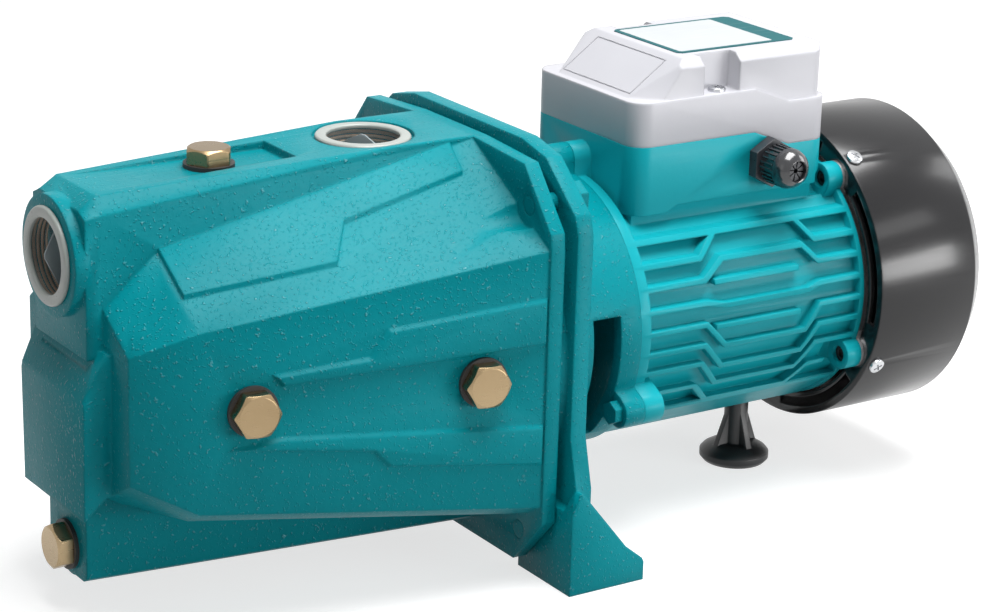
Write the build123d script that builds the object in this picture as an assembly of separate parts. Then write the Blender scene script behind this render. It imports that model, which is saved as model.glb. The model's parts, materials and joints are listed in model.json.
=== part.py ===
from build123d import *
import math
import os

# Shallow well jet pump.  Millimetres, +Z up, +X from the suction port towards the motor fan.
# The origin lies on the floor, midway between the two foot bolt holes.

# ------------------------------------------------------------------ overall sizes
SHAFT_Z = 92.0                  # height of the shaft above the floor
BODY_LENGTH = 168.1             # casing flange face to the front face of the casing
FRAME_LENGTH = 123.0            # motor frame between its end faces
BARREL_LENGTH = 44.0            # bracket plate to motor frame
COVER_LENGTH = 63.8             # fan cover, front rim to rear face

# ------------------------------------------------------------------ fits
PLAY = 0.05                     # radial running clearance of a shaft in a hole
GAP = 0.3                       # clearance between pieces that move past each other

# ------------------------------------------------------------------ bracket and flange joint
PLATE_FRONT_X = -14.0           # front of the bracket plate
PLATE_T = 7.6
LAND_T = 4.4                    # round joint land proud of the bracket plate
LAND_R = 81.0
GASKET_T = 0.6
FLANGE_T = 6.7
CHAMBER_R = 72.0                # round opening of the casing at the joint
JOINT_BORE_DEPTH = 18.0         # its depth behind the flange
FLANGE_HALF_W = 83.0
FLANGE_TOP = 88.7               # above the shaft
FLANGE_BOTTOM = 84.5            # below the shaft
CASING_BOLT_Y = 66.0
CASING_BOLT_DZ = 70.0
CASING_BOLT_R = 4.0

# ------------------------------------------------------------------ casing body
FACET_LENGTH = 22.4             # front chamfer of the side walls
REAR_HALF_W = 82.0              # side walls at the flange
FACET_HALF_W = 60.0             # side walls where the front facet starts
FRONT_HALF_W = 45.0             # front face
REAR_HALF_H = 55.0              # half height of the side walls at the flange
FACET_HALF_H = 37.0
FRONT_HALF_H = 26.0
RIDGE_HALF_W = 23.5             # where the roof meets the upper column
RIDGE_REAR_DZ = 88.0            # ridge above the shaft at the flange
RIDGE_FACET_DZ = 59.0
RIDGE_FRONT_DZ = 40.0
WALL = 5.5
COLUMN_OVERHANG = 7.1           # upper column in front of the front face
COLUMN_NOSE = 7.5               # length of its front chamfer
COLUMN_TOP_FRONT = 84.0         # top of the column above the shaft
COLUMN_TOP_REAR = 89.0
COLUMN_TOP_HALF_FRONT = 17.7
COLUMN_TOP_HALF_REAR = 23.0
BLOCK_OVERHANG = 11.4           # front block in front of the front face
BLOCK_HALF_W = 29.0
BLOCK_LOW_DZ = -45.0
BLOCK_HIGH_DZ = 5.5
BLOCK_CHAMFER_DZ = 23.5
SUMP_OVERHANG = 5.6
SUMP_HALF_FRONT = 17.0
SUMP_HALF_REAR = 36.0
SUMP_FLOOR_Z = 15.5
WEB_T = 5.0                     # inner walls that carry the ejector
BAND_LIFT = 2.0                 # raised bands on the side walls
BAND_TAPER = 35.0               # slope of their edges, degrees
UPPER_BAND = [(0.193, 17.9), (0.475, 20.6), (0.527, 31.4), (1.003, 36.7), (1.003, 15.4), (0.227, 10.8)]
LOWER_BAND = [(0.228, -8.0), (1.003, -17.6), (1.003, -36.8), (0.535, -28.4), (0.488, -21.1), (0.037, -12.0)]
ROOF_LIFT = 1.5                 # raised upper part of the sloping roof
ROOF_STEP = [(0.01, 45.0), (0.437, 54.8), (0.517, 39.5), (0.906, 37.5), (0.921, 24.0)]

# ------------------------------------------------------------------ ports, caps and plugs
PORT_THREAD_R = 15.15           # minor radius of a one inch pipe thread
PORT_THREAD_LENGTH = 16.0
PORT_ENTRY_R = 16.9
PORT_ENTRY_LENGTH = 7.0
PORT_BOSS_R = 24.5
SUCTION_DZ = 57.0               # suction port above the shaft
OUTLET_X = -64.3
CAP_R = 20.0
CAP_RIM_T = 2.0
CAP_BORE_R = 14.3
CAP_SPIGOT_LENGTH = 6.0
CAP_WEB_T = 1.4
PLUG_SHANK_R = 8.2
PLUG_SHANK_LENGTH = 11.0
PLUG_HEX_AF = 17.2
PLUG_HEAD_T = 6.5
PLUG_RING_R = 10.4
PLUG_RING_T = 1.7
PLUG_CHAMFER = 1.3
PRIMING_X = -135.4
RECESS_DZ = 84.2                # floor of the shallow recess round the priming plug
RECESS_HALF_W = 13.5
RECESS_REAR_X = -103.4
SIDE_PLUG_FRONT_X = -149.9
SIDE_PLUG_REAR_X = -53.4
SIDE_PLUG_DZ = 3.5
DRAIN_Z = 27.0

# ------------------------------------------------------------------ wet end
EJECTOR_R = 17.0                # venturi tail in the diffuser neck
THROAT_R = 6.5
VENTURI_FLANGE_R = 26.0
VENTURI_BODY_R = 20.0
NOZZLE_R = 11.0
NOZZLE_TIP_R = 4.2
ORING_R = 1.7
ORING_DEPTH = 2.6               # squeezed depth of the ring in its groove
IMPELLER_R = 60.0
IMPELLER_WIDTH = 15.0
IMPELLER_BACK_GAP = 3.0
IMPELLER_HUB_R = 11.0
IMPELLER_EYE_R = 20.0
SHROUD_T = 2.5
IMPELLER_VANES = 6
DIFFUSER_R = 70.0
DIFFUSER_VANES = 9
SEAL_POCKET_R = 19.0
SEAL_POCKET_DEPTH = 21.9
SEAL_SEAT_R = 15.0
SEAL_SEAT_T = 5.5
SEAL_HEAD_R = 14.0
SEAL_HEAD_T = 9.5
SPRING_COIL_R = 10.6
SPRING_WIRE_R = 1.0
SPRING_TURNS = 4

# ------------------------------------------------------------------ shaft and bearings
SHAFT_TIP_R = 6.0
SHAFT_SEAL_R = 7.0
SHAFT_ROTOR_R = 11.0
FRONT_BORE_R = 8.5              # 17 x 40 x 12 bearing
FRONT_OUTER_R = 20.0
FRONT_WIDTH = 12.0
REAR_BORE_R = 7.5               # 15 x 35 x 11 bearing
REAR_OUTER_R = 17.5
REAR_WIDTH = 11.0
SHAFT_FAN_R = 6.5

# ------------------------------------------------------------------ motor
FRAME_BORE_R = 51.0
FRAME_SKIN_R = 55.6
FIN_R = 59.6
FIN_T = 2.4
END_RING_T = 6.0
STATOR_LENGTH = 70.0
AIR_GAP = 0.35
ROTOR_R = 28.5
WINDING_LENGTH = 14.0
LUG_R = 7.0
LUG_BOLT_R = 2.5
LOWER_LUG = (59.0, -30.0)       # across and above the shaft
TOP_LUG = (0.0, 66.0)
REAR_LOWER_LUG = (53.9, -26.3)
REAR_UPPER_LUG = (33.0, 50.1)
SHIELD_T = 7.0                  # rear end shield
SHIELD_BOLT_REACH = 3.4         # its screws' reach into it
REAR_LUG_T = 8.0
SOCKET_HEAD_R = 3.8
SOCKET_HEAD_T = 2.5
SOCKET_SINK = 2.0               # head below the lug's front face
SOCKET_AF = 4.0
COVER_R = 70.6
COVER_REAR_R = 63.0
COVER_CHAMFER = 9.2
COVER_WALL = 2.2
FAN_R = 50.0
FAN_BLADES = 8
REAR_FOOT_BACK = 21.0           # rear foot ahead of the frame's rear face
REAR_FOOT_R = 16.1
REAR_FOOT_DISC_T = 6.0
REAR_FOOT_DOME_R = 12.0
REAR_FOOT_COLUMN_R = 5.5
REAR_FOOT_RIB_T = 3.0
REAR_FOOT_RIB_TOP = 24.0

# ------------------------------------------------------------------ terminal box
BOX_FRONT = 8.6                 # box ahead of the frame's front face
BOX_LENGTH = FRAME_LENGTH - 18.0
BOX_HALF_W = 39.1
BOX_BOTTOM_DZ = 47.6
SEAM_DZ = 77.8                  # seam between box and lid, front part
SEAM_STEP = 7.3                 # lower rear part of the seam
SEAM_STEP_START = BOX_LENGTH - 41.5  # where it starts to fall, from the box front
SEAM_STEP_END = BOX_LENGTH - 23.0
BOX_CORNER_R = 9.0              # upright corners of box and lid
LID_WALL_H = 19.1
LID_TOP_H = 35.2                # top of the lid above the front seam
LID_SLOPE = 27.0                # plan length of the sloping front
LID_INSET = 2.4
LID_WALL = 2.6
LID_FACET = 12.0                # reach of the small facets beside the sloping front
LID_SCREW_X = BOX_LENGTH * 0.442  # from the box front
LID_SCREW_Y = BOX_HALF_W - 6.6
POCKET_FRONT = 10.0             # screw pocket ahead of and behind its screw
POCKET_REAR = 9.0
BOX_WALL = 4.0
GLAND_X = BOX_LENGTH - 34.1     # from the box front
GLAND_DZ = 64.5
GLAND_THREAD_R = 8.0
GLAND_HEX_AF = 19.0
GLAND_HEX_T = 5.0
GLAND_NUT_R = 9.0
GLAND_NUT_LENGTH = 17.0
GLAND_BORE_R = 4.2

# ------------------------------------------------------------------ feet
FOOT_FRONT = 18.2               # foot ahead of its bolt holes
FOOT_REAR = 19.3
FOOT_HALF_W = 94.0
FOOT_INNER = 55.6
FOOT_T = 8.0
FOOT_HOLE_Y = 75.0
FOOT_HOLE_R = 5.5

# ------------------------------------------------------------------ places that follow
LAND_X = PLATE_FRONT_X - LAND_T
FLANGE_REAR_X = LAND_X - GASKET_T
FLANGE_X = FLANGE_REAR_X - FLANGE_T
FRONT_X = FLANGE_X - BODY_LENGTH
FACET_X = FRONT_X + FACET_LENGTH
COLUMN_X = FRONT_X - COLUMN_OVERHANG
BLOCK_X = FRONT_X - BLOCK_OVERHANG
SUMP_X = FRONT_X - SUMP_OVERHANG
BOSS_X = COLUMN_X - 4.5
BARREL_X = PLATE_FRONT_X + PLATE_T
FRAME_X = BARREL_X + BARREL_LENGTH
FRAME_END_X = FRAME_X + FRAME_LENGTH
COVER_X = FRAME_END_X + 1.2
COVER_END_X = COVER_X + COVER_LENGTH
SUCTION_Z = SHAFT_Z + SUCTION_DZ
OUTLET_Z = SHAFT_Z + COLUMN_TOP_REAR - CAP_RIM_T
NOZZLE_WEB_X = FRONT_X + 2.4
VENTURI_WEB_X = NOZZLE_WEB_X + WEB_T + 20.0
CHAMBER_X = VENTURI_WEB_X + WEB_T
IMPELLER_REAR_X = LAND_X - IMPELLER_BACK_GAP
IMPELLER_X = IMPELLER_REAR_X - IMPELLER_WIDTH
SEAT_END_X = LAND_X + SEAL_POCKET_DEPTH + SEAL_SEAT_T
SEAT_X = SEAT_END_X - SEAL_SEAT_T
SEAL_HEAD_X = SEAT_X - PLAY - SEAL_HEAD_T
SEAL_HUB_END_X = SEAT_END_X + 4.0
BEARING_X = FRAME_X - 3.0 - FRONT_WIDTH
REAR_BEARING_X = FRAME_END_X - 1.0
STATOR_X = FRAME_X + (FRAME_LENGTH - STATOR_LENGTH) / 2
BOX_X = FRAME_X + BOX_FRONT
BOX_END_X = BOX_X + BOX_LENGTH
BOARD_X = BOX_X + BOX_LENGTH * 0.248
SEAM_Z = SHAFT_Z + SEAM_DZ
LOW_SEAM_Z = SEAM_Z - SEAM_STEP
REAR_FOOT_X = FRAME_END_X - REAR_FOOT_BACK
SIDE_SLOPE = math.atan2(REAR_HALF_W - FACET_HALF_W, BODY_LENGTH - FACET_LENGTH)


# ------------------------------------------------------------------ shape helpers
def box(x0, x1, y0, y1, z0, z1):
    """Block between two corners."""
    return Pos((x0 + x1) / 2, (y0 + y1) / 2, (z0 + z1) / 2) * Box(x1 - x0, y1 - y0, z1 - z0)


def rod(start, direction, length, radius):
    """Cylinder from a point along a direction."""
    base = Plane(origin=start, z_dir=direction)
    return base * Cylinder(radius, length, align=(Align.CENTER, Align.CENTER, Align.MIN))


def shaft_rod(x0, x1, radius, across=0.0, above=0.0):
    """Cylinder parallel to the shaft."""
    return rod((x0, across, SHAFT_Z + above), (1, 0, 0), x1 - x0, radius)


def shaft_tube(x0, x1, outer, inner, across=0.0, above=0.0):
    """Tube parallel to the shaft."""
    bore = shaft_rod(x0 - 1, x1 + 1, inner, across, above)
    return shaft_rod(x0, x1, outer, across, above) - bore


def yz_face(x, points):
    """Flat face across the shaft from (y, z) points."""
    plane = Plane(origin=(x, 0, 0), x_dir=(0, 1, 0), z_dir=(1, 0, 0))
    return plane * make_face(Polyline(*points, close=True))


def yz_prism(x0, x1, points):
    """Prism along the shaft from (y, z) points."""
    return extrude(yz_face(x0, points), amount=x1 - x0)


def xz_prism(y0, y1, points):
    """Prism across the shaft from (x, z) points."""
    plane = Plane(origin=(0, y1, 0), x_dir=(1, 0, 0), z_dir=(0, -1, 0))
    return extrude(plane * make_face(Polyline(*points, close=True)), amount=y1 - y0)


def turned(points):
    """Solid turned about the shaft from (x, radius) points."""
    plane = Plane(origin=(0, 0, SHAFT_Z), x_dir=(1, 0, 0), z_dir=(0, -1, 0))
    face = plane * make_face(Polyline(*points, close=True))
    return revolve(face, axis=Axis((0, 0, SHAFT_Z), (1, 0, 0)), revolution_arc=360)


def turned_upright(x, y, points):
    """Solid turned about an upright axis from (radius, z) points."""
    plane = Plane(origin=(x, y, 0), x_dir=(1, 0, 0), z_dir=(0, -1, 0))
    face = plane * make_face(Polyline(*points, close=True))
    return revolve(face, axis=Axis((x, y, 0), (0, 0, 1)), revolution_arc=360)


def hex_rod(start, direction, length, across_flats):
    """Hexagonal bar from a point along a direction."""
    base = Plane(origin=start, z_dir=direction)
    corner_r = across_flats / math.sqrt(3)
    return extrude(base * RegularPolygon(corner_r, 6), amount=length)


def mirrored(shape):
    """The shape and its twin on the other side of the shaft."""
    return [shape, mirror(shape, about=Plane.XZ)]


def both_sides(points):
    """Closed outline from the points of its +Y half, top to bottom."""
    return points + [(-y, z) for y, z in reversed(points)]


def spun(shape, angle):
    """Copy turned about the shaft."""
    return shape.rotate(Axis((0, 0, SHAFT_Z), (1, 0, 0)), angle)


def blend(x, values):
    """Value of a size that runs through (x, value) stations."""
    for (x0, v0), (x1, v1) in zip(values, values[1:]):
        if x <= x1:
            return v0 + (v1 - v0) * (x - x0) / (x1 - x0)
    return values[-1][1]


# ------------------------------------------------------------------ pump casing
def side_half_width(x):
    """Half width of the casing's side walls at a place along the shaft."""
    return blend(x, [(FRONT_X, FRONT_HALF_W), (FACET_X, FACET_HALF_W), (FLANGE_X, REAR_HALF_W)])


def side_half_height(x):
    """Half height of the casing's side walls at a place along the shaft."""
    return blend(x, [(FRONT_X, FRONT_HALF_H), (FACET_X, FACET_HALF_H), (FLANGE_X, REAR_HALF_H)])


def ridge_height(x):
    """Top of the sloping roof above the shaft."""
    return blend(x, [(FRONT_X, RIDGE_FRONT_DZ), (FACET_X, RIDGE_FACET_DZ), (FLANGE_X, RIDGE_REAR_DZ)])


def keel_height(x):
    """Underside of the casing above the floor, beside the sump."""
    return blend(x, [(FRONT_X, 52.0), (FACET_X, 42.0), (FLANGE_X, 25.0)])


def body_outline(x, inset=0.0):
    """Half outline of the casing body, top to bottom."""
    half_w = side_half_width(x) - inset
    half_h = side_half_height(x) - inset * 0.8
    ridge = (RIDGE_HALF_W - inset * 0.3, SHAFT_Z + ridge_height(x) - inset * 1.25)
    chamfer = (half_w - 10.0, SHAFT_Z - half_h - 6.0)
    keel = (blend(x, [(FRONT_X, 18.0), (FLANGE_X, 36.0)]), keel_height(x) + inset)
    return [ridge, (half_w, SHAFT_Z + half_h), (half_w, SHAFT_Z - half_h), chamfer, keel]


def body_solid():
    """Faceted wedge between the front face and the flange."""
    stations = [FRONT_X, FACET_X, FLANGE_X]
    return loft([yz_face(x, both_sides(body_outline(x))) for x in stations], ruled=True)


def column_outline(x, top, top_half, edge_drop):
    """Half outline of the upper column, top to bottom."""
    edge = top - edge_drop
    return [(top_half, SHAFT_Z + top), (RIDGE_HALF_W, SHAFT_Z + edge), (RIDGE_HALF_W, SHAFT_Z + 20.0)]


def column_solid():
    """Upper column that carries the suction boss, the priming plug and the outlet."""
    nose_x = COLUMN_X + COLUMN_NOSE
    rear_top = COLUMN_TOP_REAR
    sections = [
        (COLUMN_X, column_outline(COLUMN_X, COLUMN_TOP_FRONT - 5.0, COLUMN_TOP_HALF_FRONT, 2.6)),
        (nose_x, column_outline(nose_x, COLUMN_TOP_FRONT, COLUMN_TOP_HALF_FRONT, 6.5)),
        (OUTLET_X, column_outline(OUTLET_X, rear_top, COLUMN_TOP_HALF_REAR, 0.6)),
        (FLANGE_X + 1, column_outline(FLANGE_X + 1, rear_top, COLUMN_TOP_HALF_REAR, 0.6)),
    ]
    return loft([yz_face(x, both_sides(points)) for x, points in sections], ruled=True)


def front_block():
    """Block with a chamfered top on the front of the casing."""
    low = SHAFT_Z + BLOCK_LOW_DZ
    high = SHAFT_Z + BLOCK_HIGH_DZ
    back_x = FRONT_X - 2.0
    nose = [(BLOCK_HALF_W - 1.0, high), (BLOCK_HALF_W, high - 3), (BLOCK_HALF_W - 1.0, low)]
    back = [(BLOCK_HALF_W + 1.5, SHAFT_Z + BLOCK_CHAMFER_DZ), (BLOCK_HALF_W + 1.5, high), (BLOCK_HALF_W, low + 9)]
    root = [(BLOCK_HALF_W + 1.5, SHAFT_Z + BLOCK_CHAMFER_DZ), (BLOCK_HALF_W + 1.5, high), (BLOCK_HALF_W, low + 9)]
    faces = [yz_face(BLOCK_X, both_sides(nose)), yz_face(back_x, both_sides(back)),
             yz_face(FRONT_X + 8.0, both_sides(root))]
    return loft(faces, ruled=True)


def sump_solid():
    """Straight-sided sump under the casing."""
    top_front = SHAFT_Z - 38.0
    sections = [(SUMP_X, SUMP_HALF_FRONT, top_front), (FLANGE_X + 1, SUMP_HALF_REAR, SHAFT_Z - 55.0)]
    faces = []
    for x, half_w, top in sections:
        faces.append(yz_face(x, both_sides([(half_w, top), (half_w, SUMP_FLOOR_Z + 2), (half_w - 3, SUMP_FLOOR_Z)])))
    return loft(faces, ruled=True)


def flange_outline():
    """Half outline of the casing flange, top to bottom."""
    top = SHAFT_Z + FLANGE_TOP
    bottom = SHAFT_Z - FLANGE_BOTTOM
    return [(24.0, top), (61.9, top - 2.3), (FLANGE_HALF_W - 0.7, top - 26.8), (FLANGE_HALF_W, top - 34.0),
            (FLANGE_HALF_W, bottom + 22.1), (62.8, bottom)]


def casing_bolt_places():
    """The four casing bolts, as (y, z above the shaft)."""
    return [(y, dz) for y in (-CASING_BOLT_Y, CASING_BOLT_Y) for dz in (-CASING_BOLT_DZ, CASING_BOLT_DZ)]


def water_chamber():
    """Main pressure chamber behind the venturi web, open at the flange."""
    flange_in = FLANGE_X - 4.0
    faces = [yz_face(x, both_sides(body_outline(x, WALL))) for x in (CHAMBER_X, flange_in)]
    opening = shaft_rod(FLANGE_X - JOINT_BORE_DEPTH, FLANGE_REAR_X + 1, CHAMBER_R)
    loft_part = loft(faces, ruled=True)
    void_top = SHAFT_Z + RECESS_DZ - PLUG_SHANK_LENGTH + 0.5
    column_void = box(CHAMBER_X + 6.0, RECESS_REAR_X + 10.0, -15.0, 15.0, SHAFT_Z + 30.0, void_top)
    return loft_part + opening + column_void


def port_bore(start, inward):
    """Entry, thread wall and run-out of a port, from its mouth inward."""
    entry_end = Vector(start) + Vector(inward) * PORT_ENTRY_LENGTH
    entry = rod(Vector(start) - Vector(inward), inward, PORT_ENTRY_LENGTH + 1.0, PORT_ENTRY_R)
    return entry + rod(entry_end, inward, PORT_THREAD_LENGTH, PORT_THREAD_R)


def side_plug_seat(x):
    """Centre of a side plug's seat and its outward direction, on the -Y side."""
    outward = Vector(-math.sin(SIDE_SLOPE), -math.cos(SIDE_SLOPE), 0)
    return Vector(x, -side_half_width(x), SHAFT_Z + SIDE_PLUG_DZ), outward


def plug_seats():
    """Name, seat centre and outward direction of each threaded plug."""
    front_seat, outward = side_plug_seat(SIDE_PLUG_FRONT_X)
    rear_seat, outward = side_plug_seat(SIDE_PLUG_REAR_X)
    return {
        "priming": (Vector(PRIMING_X, 0, SHAFT_Z + RECESS_DZ), Vector(0, 0, 1)),
        "side_front": (front_seat, outward),
        "side_rear": (rear_seat, outward),
        "drain": (Vector(SUMP_X, 0, DRAIN_Z), Vector(-1, 0, 0)),
    }


def plug_hole(seat, outward):
    """Threaded hole and spot face for a plug."""
    hole = rod(seat + outward, -outward, PLUG_SHANK_LENGTH + 3.0, PLUG_SHANK_R + PLAY)
    return hole + rod(seat, outward, 12.0, PLUG_RING_R + 1.0)


def plug_boss(seat, outward, depth):
    """Inner boss that gives a plug its thread length."""
    return rod(seat - outward * 1.0, -outward, depth, PLUG_SHANK_R + 5.0)


def ejector_passages():
    """High pressure pocket, feed channels and suction chamber in the casing's front."""
    pocket_low = SHAFT_Z + BLOCK_LOW_DZ + WALL + 2.0
    sump_low = SUMP_FLOOR_Z + WALL
    feed_top = pocket_low + 7.5
    feed_x = SUMP_X + PLUG_SHANK_LENGTH - 0.5
    web_end = NOZZLE_WEB_X + WEB_T
    run_end = FLANGE_X - 25.0
    thread_end = BOSS_X + PORT_ENTRY_LENGTH + PORT_THREAD_LENGTH
    return [
        box(BLOCK_X + WALL, NOZZLE_WEB_X, -20.0, 20.0, pocket_low, SHAFT_Z + 16.0),
        box(BLOCK_X + WALL, web_end + 5.0, -10.0, 10.0, pocket_low, feed_top),
        box(feed_x, web_end + 5.0, -10.0, 10.0, sump_low, feed_top),
        box(feed_x, run_end, -10.0, 10.0, sump_low, sump_low + 16.0),
        box(CHAMBER_X + 10.0, run_end, -10.0, 10.0, sump_low, SHAFT_Z - 30.0),
        box(web_end, VENTURI_WEB_X, -28.0, 28.0, feed_top + 4.0, SHAFT_Z + 28.0),
        box(thread_end, VENTURI_WEB_X, -18.0, 18.0, SHAFT_Z, SUCTION_Z + PORT_THREAD_R),
        shaft_rod(NOZZLE_WEB_X - 1, web_end + 1, NOZZLE_R),
        shaft_rod(VENTURI_WEB_X - 1, CHAMBER_X + 1, VENTURI_BODY_R),
    ]


def roof_bolt_pocket(side):
    """Pocket in the roof that clears the end of an upper casing bolt."""
    return shaft_rod(FLANGE_X - 26.0, FLANGE_X, 9.0, side * CASING_BOLT_Y, CASING_BOLT_DZ)


def wall_band(points):
    """Raised band on the -Y side wall, from (share of the wall's length, height above the shaft) points."""
    along = Vector(math.cos(SIDE_SLOPE), -math.sin(SIDE_SLOPE), 0)
    outward = Vector(-math.sin(SIDE_SLOPE), -math.cos(SIDE_SLOPE), 0)
    wall = Plane(origin=Vector(FACET_X, -FACET_HALF_W, SHAFT_Z) - outward, x_dir=along, z_dir=outward)
    length = (FLANGE_X - FACET_X) / math.cos(SIDE_SLOPE)
    face = wall * make_face(Polyline(*[(share * length, dz) for share, dz in points], close=True))
    return extrude(face, amount=BAND_LIFT + 1.0, taper=BAND_TAPER)


def roof_step():
    """Raised upper part of the sloping roof, on both sides of the column."""
    lifted = [yz_face(x, both_sides(body_outline(x, -ROOF_LIFT))) for x in (FACET_X, FLANGE_X)]
    length = FLANGE_X - FACET_X
    edge = [(FACET_X + share * length, y) for share, y in ROOF_STEP]
    outline = edge + [(x, -y) for x, y in reversed(edge)]
    face = Plane(origin=(0, 0, SHAFT_Z)) * make_face(Polyline(*outline, close=True))
    return loft(lifted, ruled=True) & extrude(face, amount=RIDGE_REAR_DZ + 20.0)


def pump_casing():
    """Cast casing with its flange, ports, webs and plug seats."""
    solid = body_solid() + column_solid() + front_block() + sump_solid()
    solid += yz_prism(FLANGE_X, FLANGE_REAR_X, both_sides(flange_outline()))
    solid += rod((COLUMN_X + 2.0, 0, SUCTION_Z), (-1, 0, 0), COLUMN_X + 2.0 - BOSS_X, PORT_BOSS_R)
    solid += roof_step()
    for points in (UPPER_BAND, LOWER_BAND):
        for band in mirrored(wall_band(points)):
            solid += band
    solid -= water_chamber()
    outlet_boss = rod((OUTLET_X, 0, OUTLET_Z - 1.0), (0, 0, -1), PORT_ENTRY_LENGTH + PORT_THREAD_LENGTH, PORT_THREAD_R + WALL)
    solid += outlet_boss
    for seat, outward in plug_seats().values():
        solid += plug_boss(seat, outward, PLUG_SHANK_LENGTH)
    solid -= shaft_rod(FLANGE_X - JOINT_BORE_DEPTH, FLANGE_REAR_X + 1, CHAMBER_R)
    for cut in ejector_passages():
        solid -= cut
    solid -= port_bore((BOSS_X, 0, SUCTION_Z), (1, 0, 0))
    solid -= port_bore((OUTLET_X, 0, OUTLET_Z), (0, 0, -1))
    thread_end = OUTLET_Z - PORT_ENTRY_LENGTH - PORT_THREAD_LENGTH
    solid -= rod((OUTLET_X, 0, thread_end + 0.01), (0, 0, -1), 14.0, PORT_THREAD_R - 1.0)
    solid -= rod((OUTLET_X, 0, OUTLET_Z), (0, 0, 1), CAP_RIM_T + 4.0, CAP_R + 1.2)
    recess = box(COLUMN_X + 10.0, RECESS_REAR_X, -RECESS_HALF_W, RECESS_HALF_W, SHAFT_Z + RECESS_DZ, SHAFT_Z + FLANGE_TOP + 4)
    solid -= recess
    for seat, outward in plug_seats().values():
        solid -= plug_hole(seat, outward)
    for side in (-1, 1):
        solid -= roof_bolt_pocket(side)
    for y, dz in casing_bolt_places():
        solid -= shaft_rod(FLANGE_X - 1, FLANGE_REAR_X + 1, CASING_BOLT_R, y, dz)
    return solid


def casing_gasket():
    """Flat ring gasket between casing and bracket."""
    return shaft_tube(FLANGE_REAR_X, LAND_X, LAND_R, CHAMBER_R)


def casing_bolts():
    """Hexagon bolts from behind the bracket into the casing flange."""
    bolts = []
    for y, dz in casing_bolt_places():
        shank = shaft_rod(FLANGE_X, BARREL_X, CASING_BOLT_R, y, dz)
        head = hex_rod((BARREL_X, y, SHAFT_Z + dz), (1, 0, 0), 5.3, 13.0)
        bolts.append(shank + head)
    return bolts


# ------------------------------------------------------------------ ejector, impeller and diffuser
def ejector_nozzle():
    """Brass nozzle screwed into its web, pointing at the venturi."""
    web_end = NOZZLE_WEB_X + WEB_T
    tip_x = web_end + 13.0
    outer = [(NOZZLE_WEB_X, NOZZLE_R), (web_end, NOZZLE_R), (web_end, NOZZLE_R + 3.0),
             (web_end + 3.0, NOZZLE_R + 3.0), (web_end + 3.0, NOZZLE_R), (tip_x, NOZZLE_TIP_R + 2.0)]
    inner = [(tip_x, NOZZLE_TIP_R), (web_end, NOZZLE_R - 3.0), (NOZZLE_WEB_X, NOZZLE_R - 3.0)]
    return turned(outer + inner)


def venturi_tail_x():
    """Rear end of the venturi, inside the diffuser neck."""
    return IMPELLER_X - 18.0


def ejector_venturi():
    """Moulded venturi tube through its web to the diffuser neck."""
    mouth_x = VENTURI_WEB_X - 2.0
    tail_x = venturi_tail_x()
    throat_x = VENTURI_WEB_X + 16.0
    groove_r = VENTURI_BODY_R + 2 * ORING_R + 0.2
    groove_x = CHAMBER_X + ORING_DEPTH
    outer = [(mouth_x, VENTURI_BODY_R), (groove_x, VENTURI_BODY_R), (groove_x, groove_r), (CHAMBER_X, groove_r),
             (CHAMBER_X, VENTURI_FLANGE_R), (groove_x + 3.0, VENTURI_FLANGE_R), (groove_x + 3.0, VENTURI_BODY_R),
             (CHAMBER_X + 18.0, EJECTOR_R), (tail_x, EJECTOR_R)]
    inner = [(tail_x, EJECTOR_R - 3.0), (throat_x + 14.0, THROAT_R), (throat_x, THROAT_R), (mouth_x, VENTURI_BODY_R - 3.5)]
    return turned(outer + inner)


def ejector_o_ring():
    """O-ring squeezed between the venturi flange and its web."""
    low = VENTURI_BODY_R
    high = VENTURI_BODY_R + 2 * ORING_R
    near = CHAMBER_X
    far = CHAMBER_X + ORING_DEPTH
    edge = ORING_DEPTH / 4
    return turned([(near, low + edge), (near, high - edge), (near + edge, high), (far - edge, high),
                   (far, high - edge), (far, low + edge), (far - edge, low), (near + edge, low)])


def curved_vane(x0, x1, inner_r, outer_r, angle):
    """Backward-curved blade between two radii."""
    span = (outer_r + inner_r) / 2
    offset = span * 0.62
    blade = shaft_tube(x0, x1, span * 0.62 + 1.1, span * 0.62 - 1.1, 0.0, offset)
    ring = shaft_tube(x0, x1, outer_r, inner_r)
    half = box(x0 - 1, x1 + 1, 0, outer_r * 2, SHAFT_Z - outer_r * 2, SHAFT_Z + outer_r * 2)
    return spun(blade & ring & half, angle)


def impeller():
    """Closed impeller with six backward-curved vanes."""
    front = IMPELLER_X + 3.0
    back_shroud = shaft_tube(IMPELLER_REAR_X - SHROUD_T, IMPELLER_REAR_X, IMPELLER_R, SHAFT_TIP_R)
    front_shroud = shaft_tube(front, front + SHROUD_T, IMPELLER_R, IMPELLER_EYE_R)
    eye = shaft_tube(IMPELLER_X - 3.0, front + SHROUD_T, IMPELLER_EYE_R + 3.0, IMPELLER_EYE_R)
    hub = shaft_tube(IMPELLER_X + 2.0, IMPELLER_REAR_X + 1.0, IMPELLER_HUB_R, SHAFT_TIP_R)
    solid = back_shroud + hub
    for i in range(IMPELLER_VANES):
        solid += curved_vane(front + SHROUD_T, IMPELLER_REAR_X - SHROUD_T, IMPELLER_EYE_R, IMPELLER_R, i * 360 / IMPELLER_VANES)
    return solid + front_shroud + eye


def impeller_nut():
    """Hexagon nut that holds the impeller."""
    bore = shaft_rod(IMPELLER_X - 6.0, IMPELLER_X + 3.0, SHAFT_TIP_R)
    return hex_rod((IMPELLER_X - 5.0, 0, SHAFT_Z), (1, 0, 0), 7.0, 18.0) - bore


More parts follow.
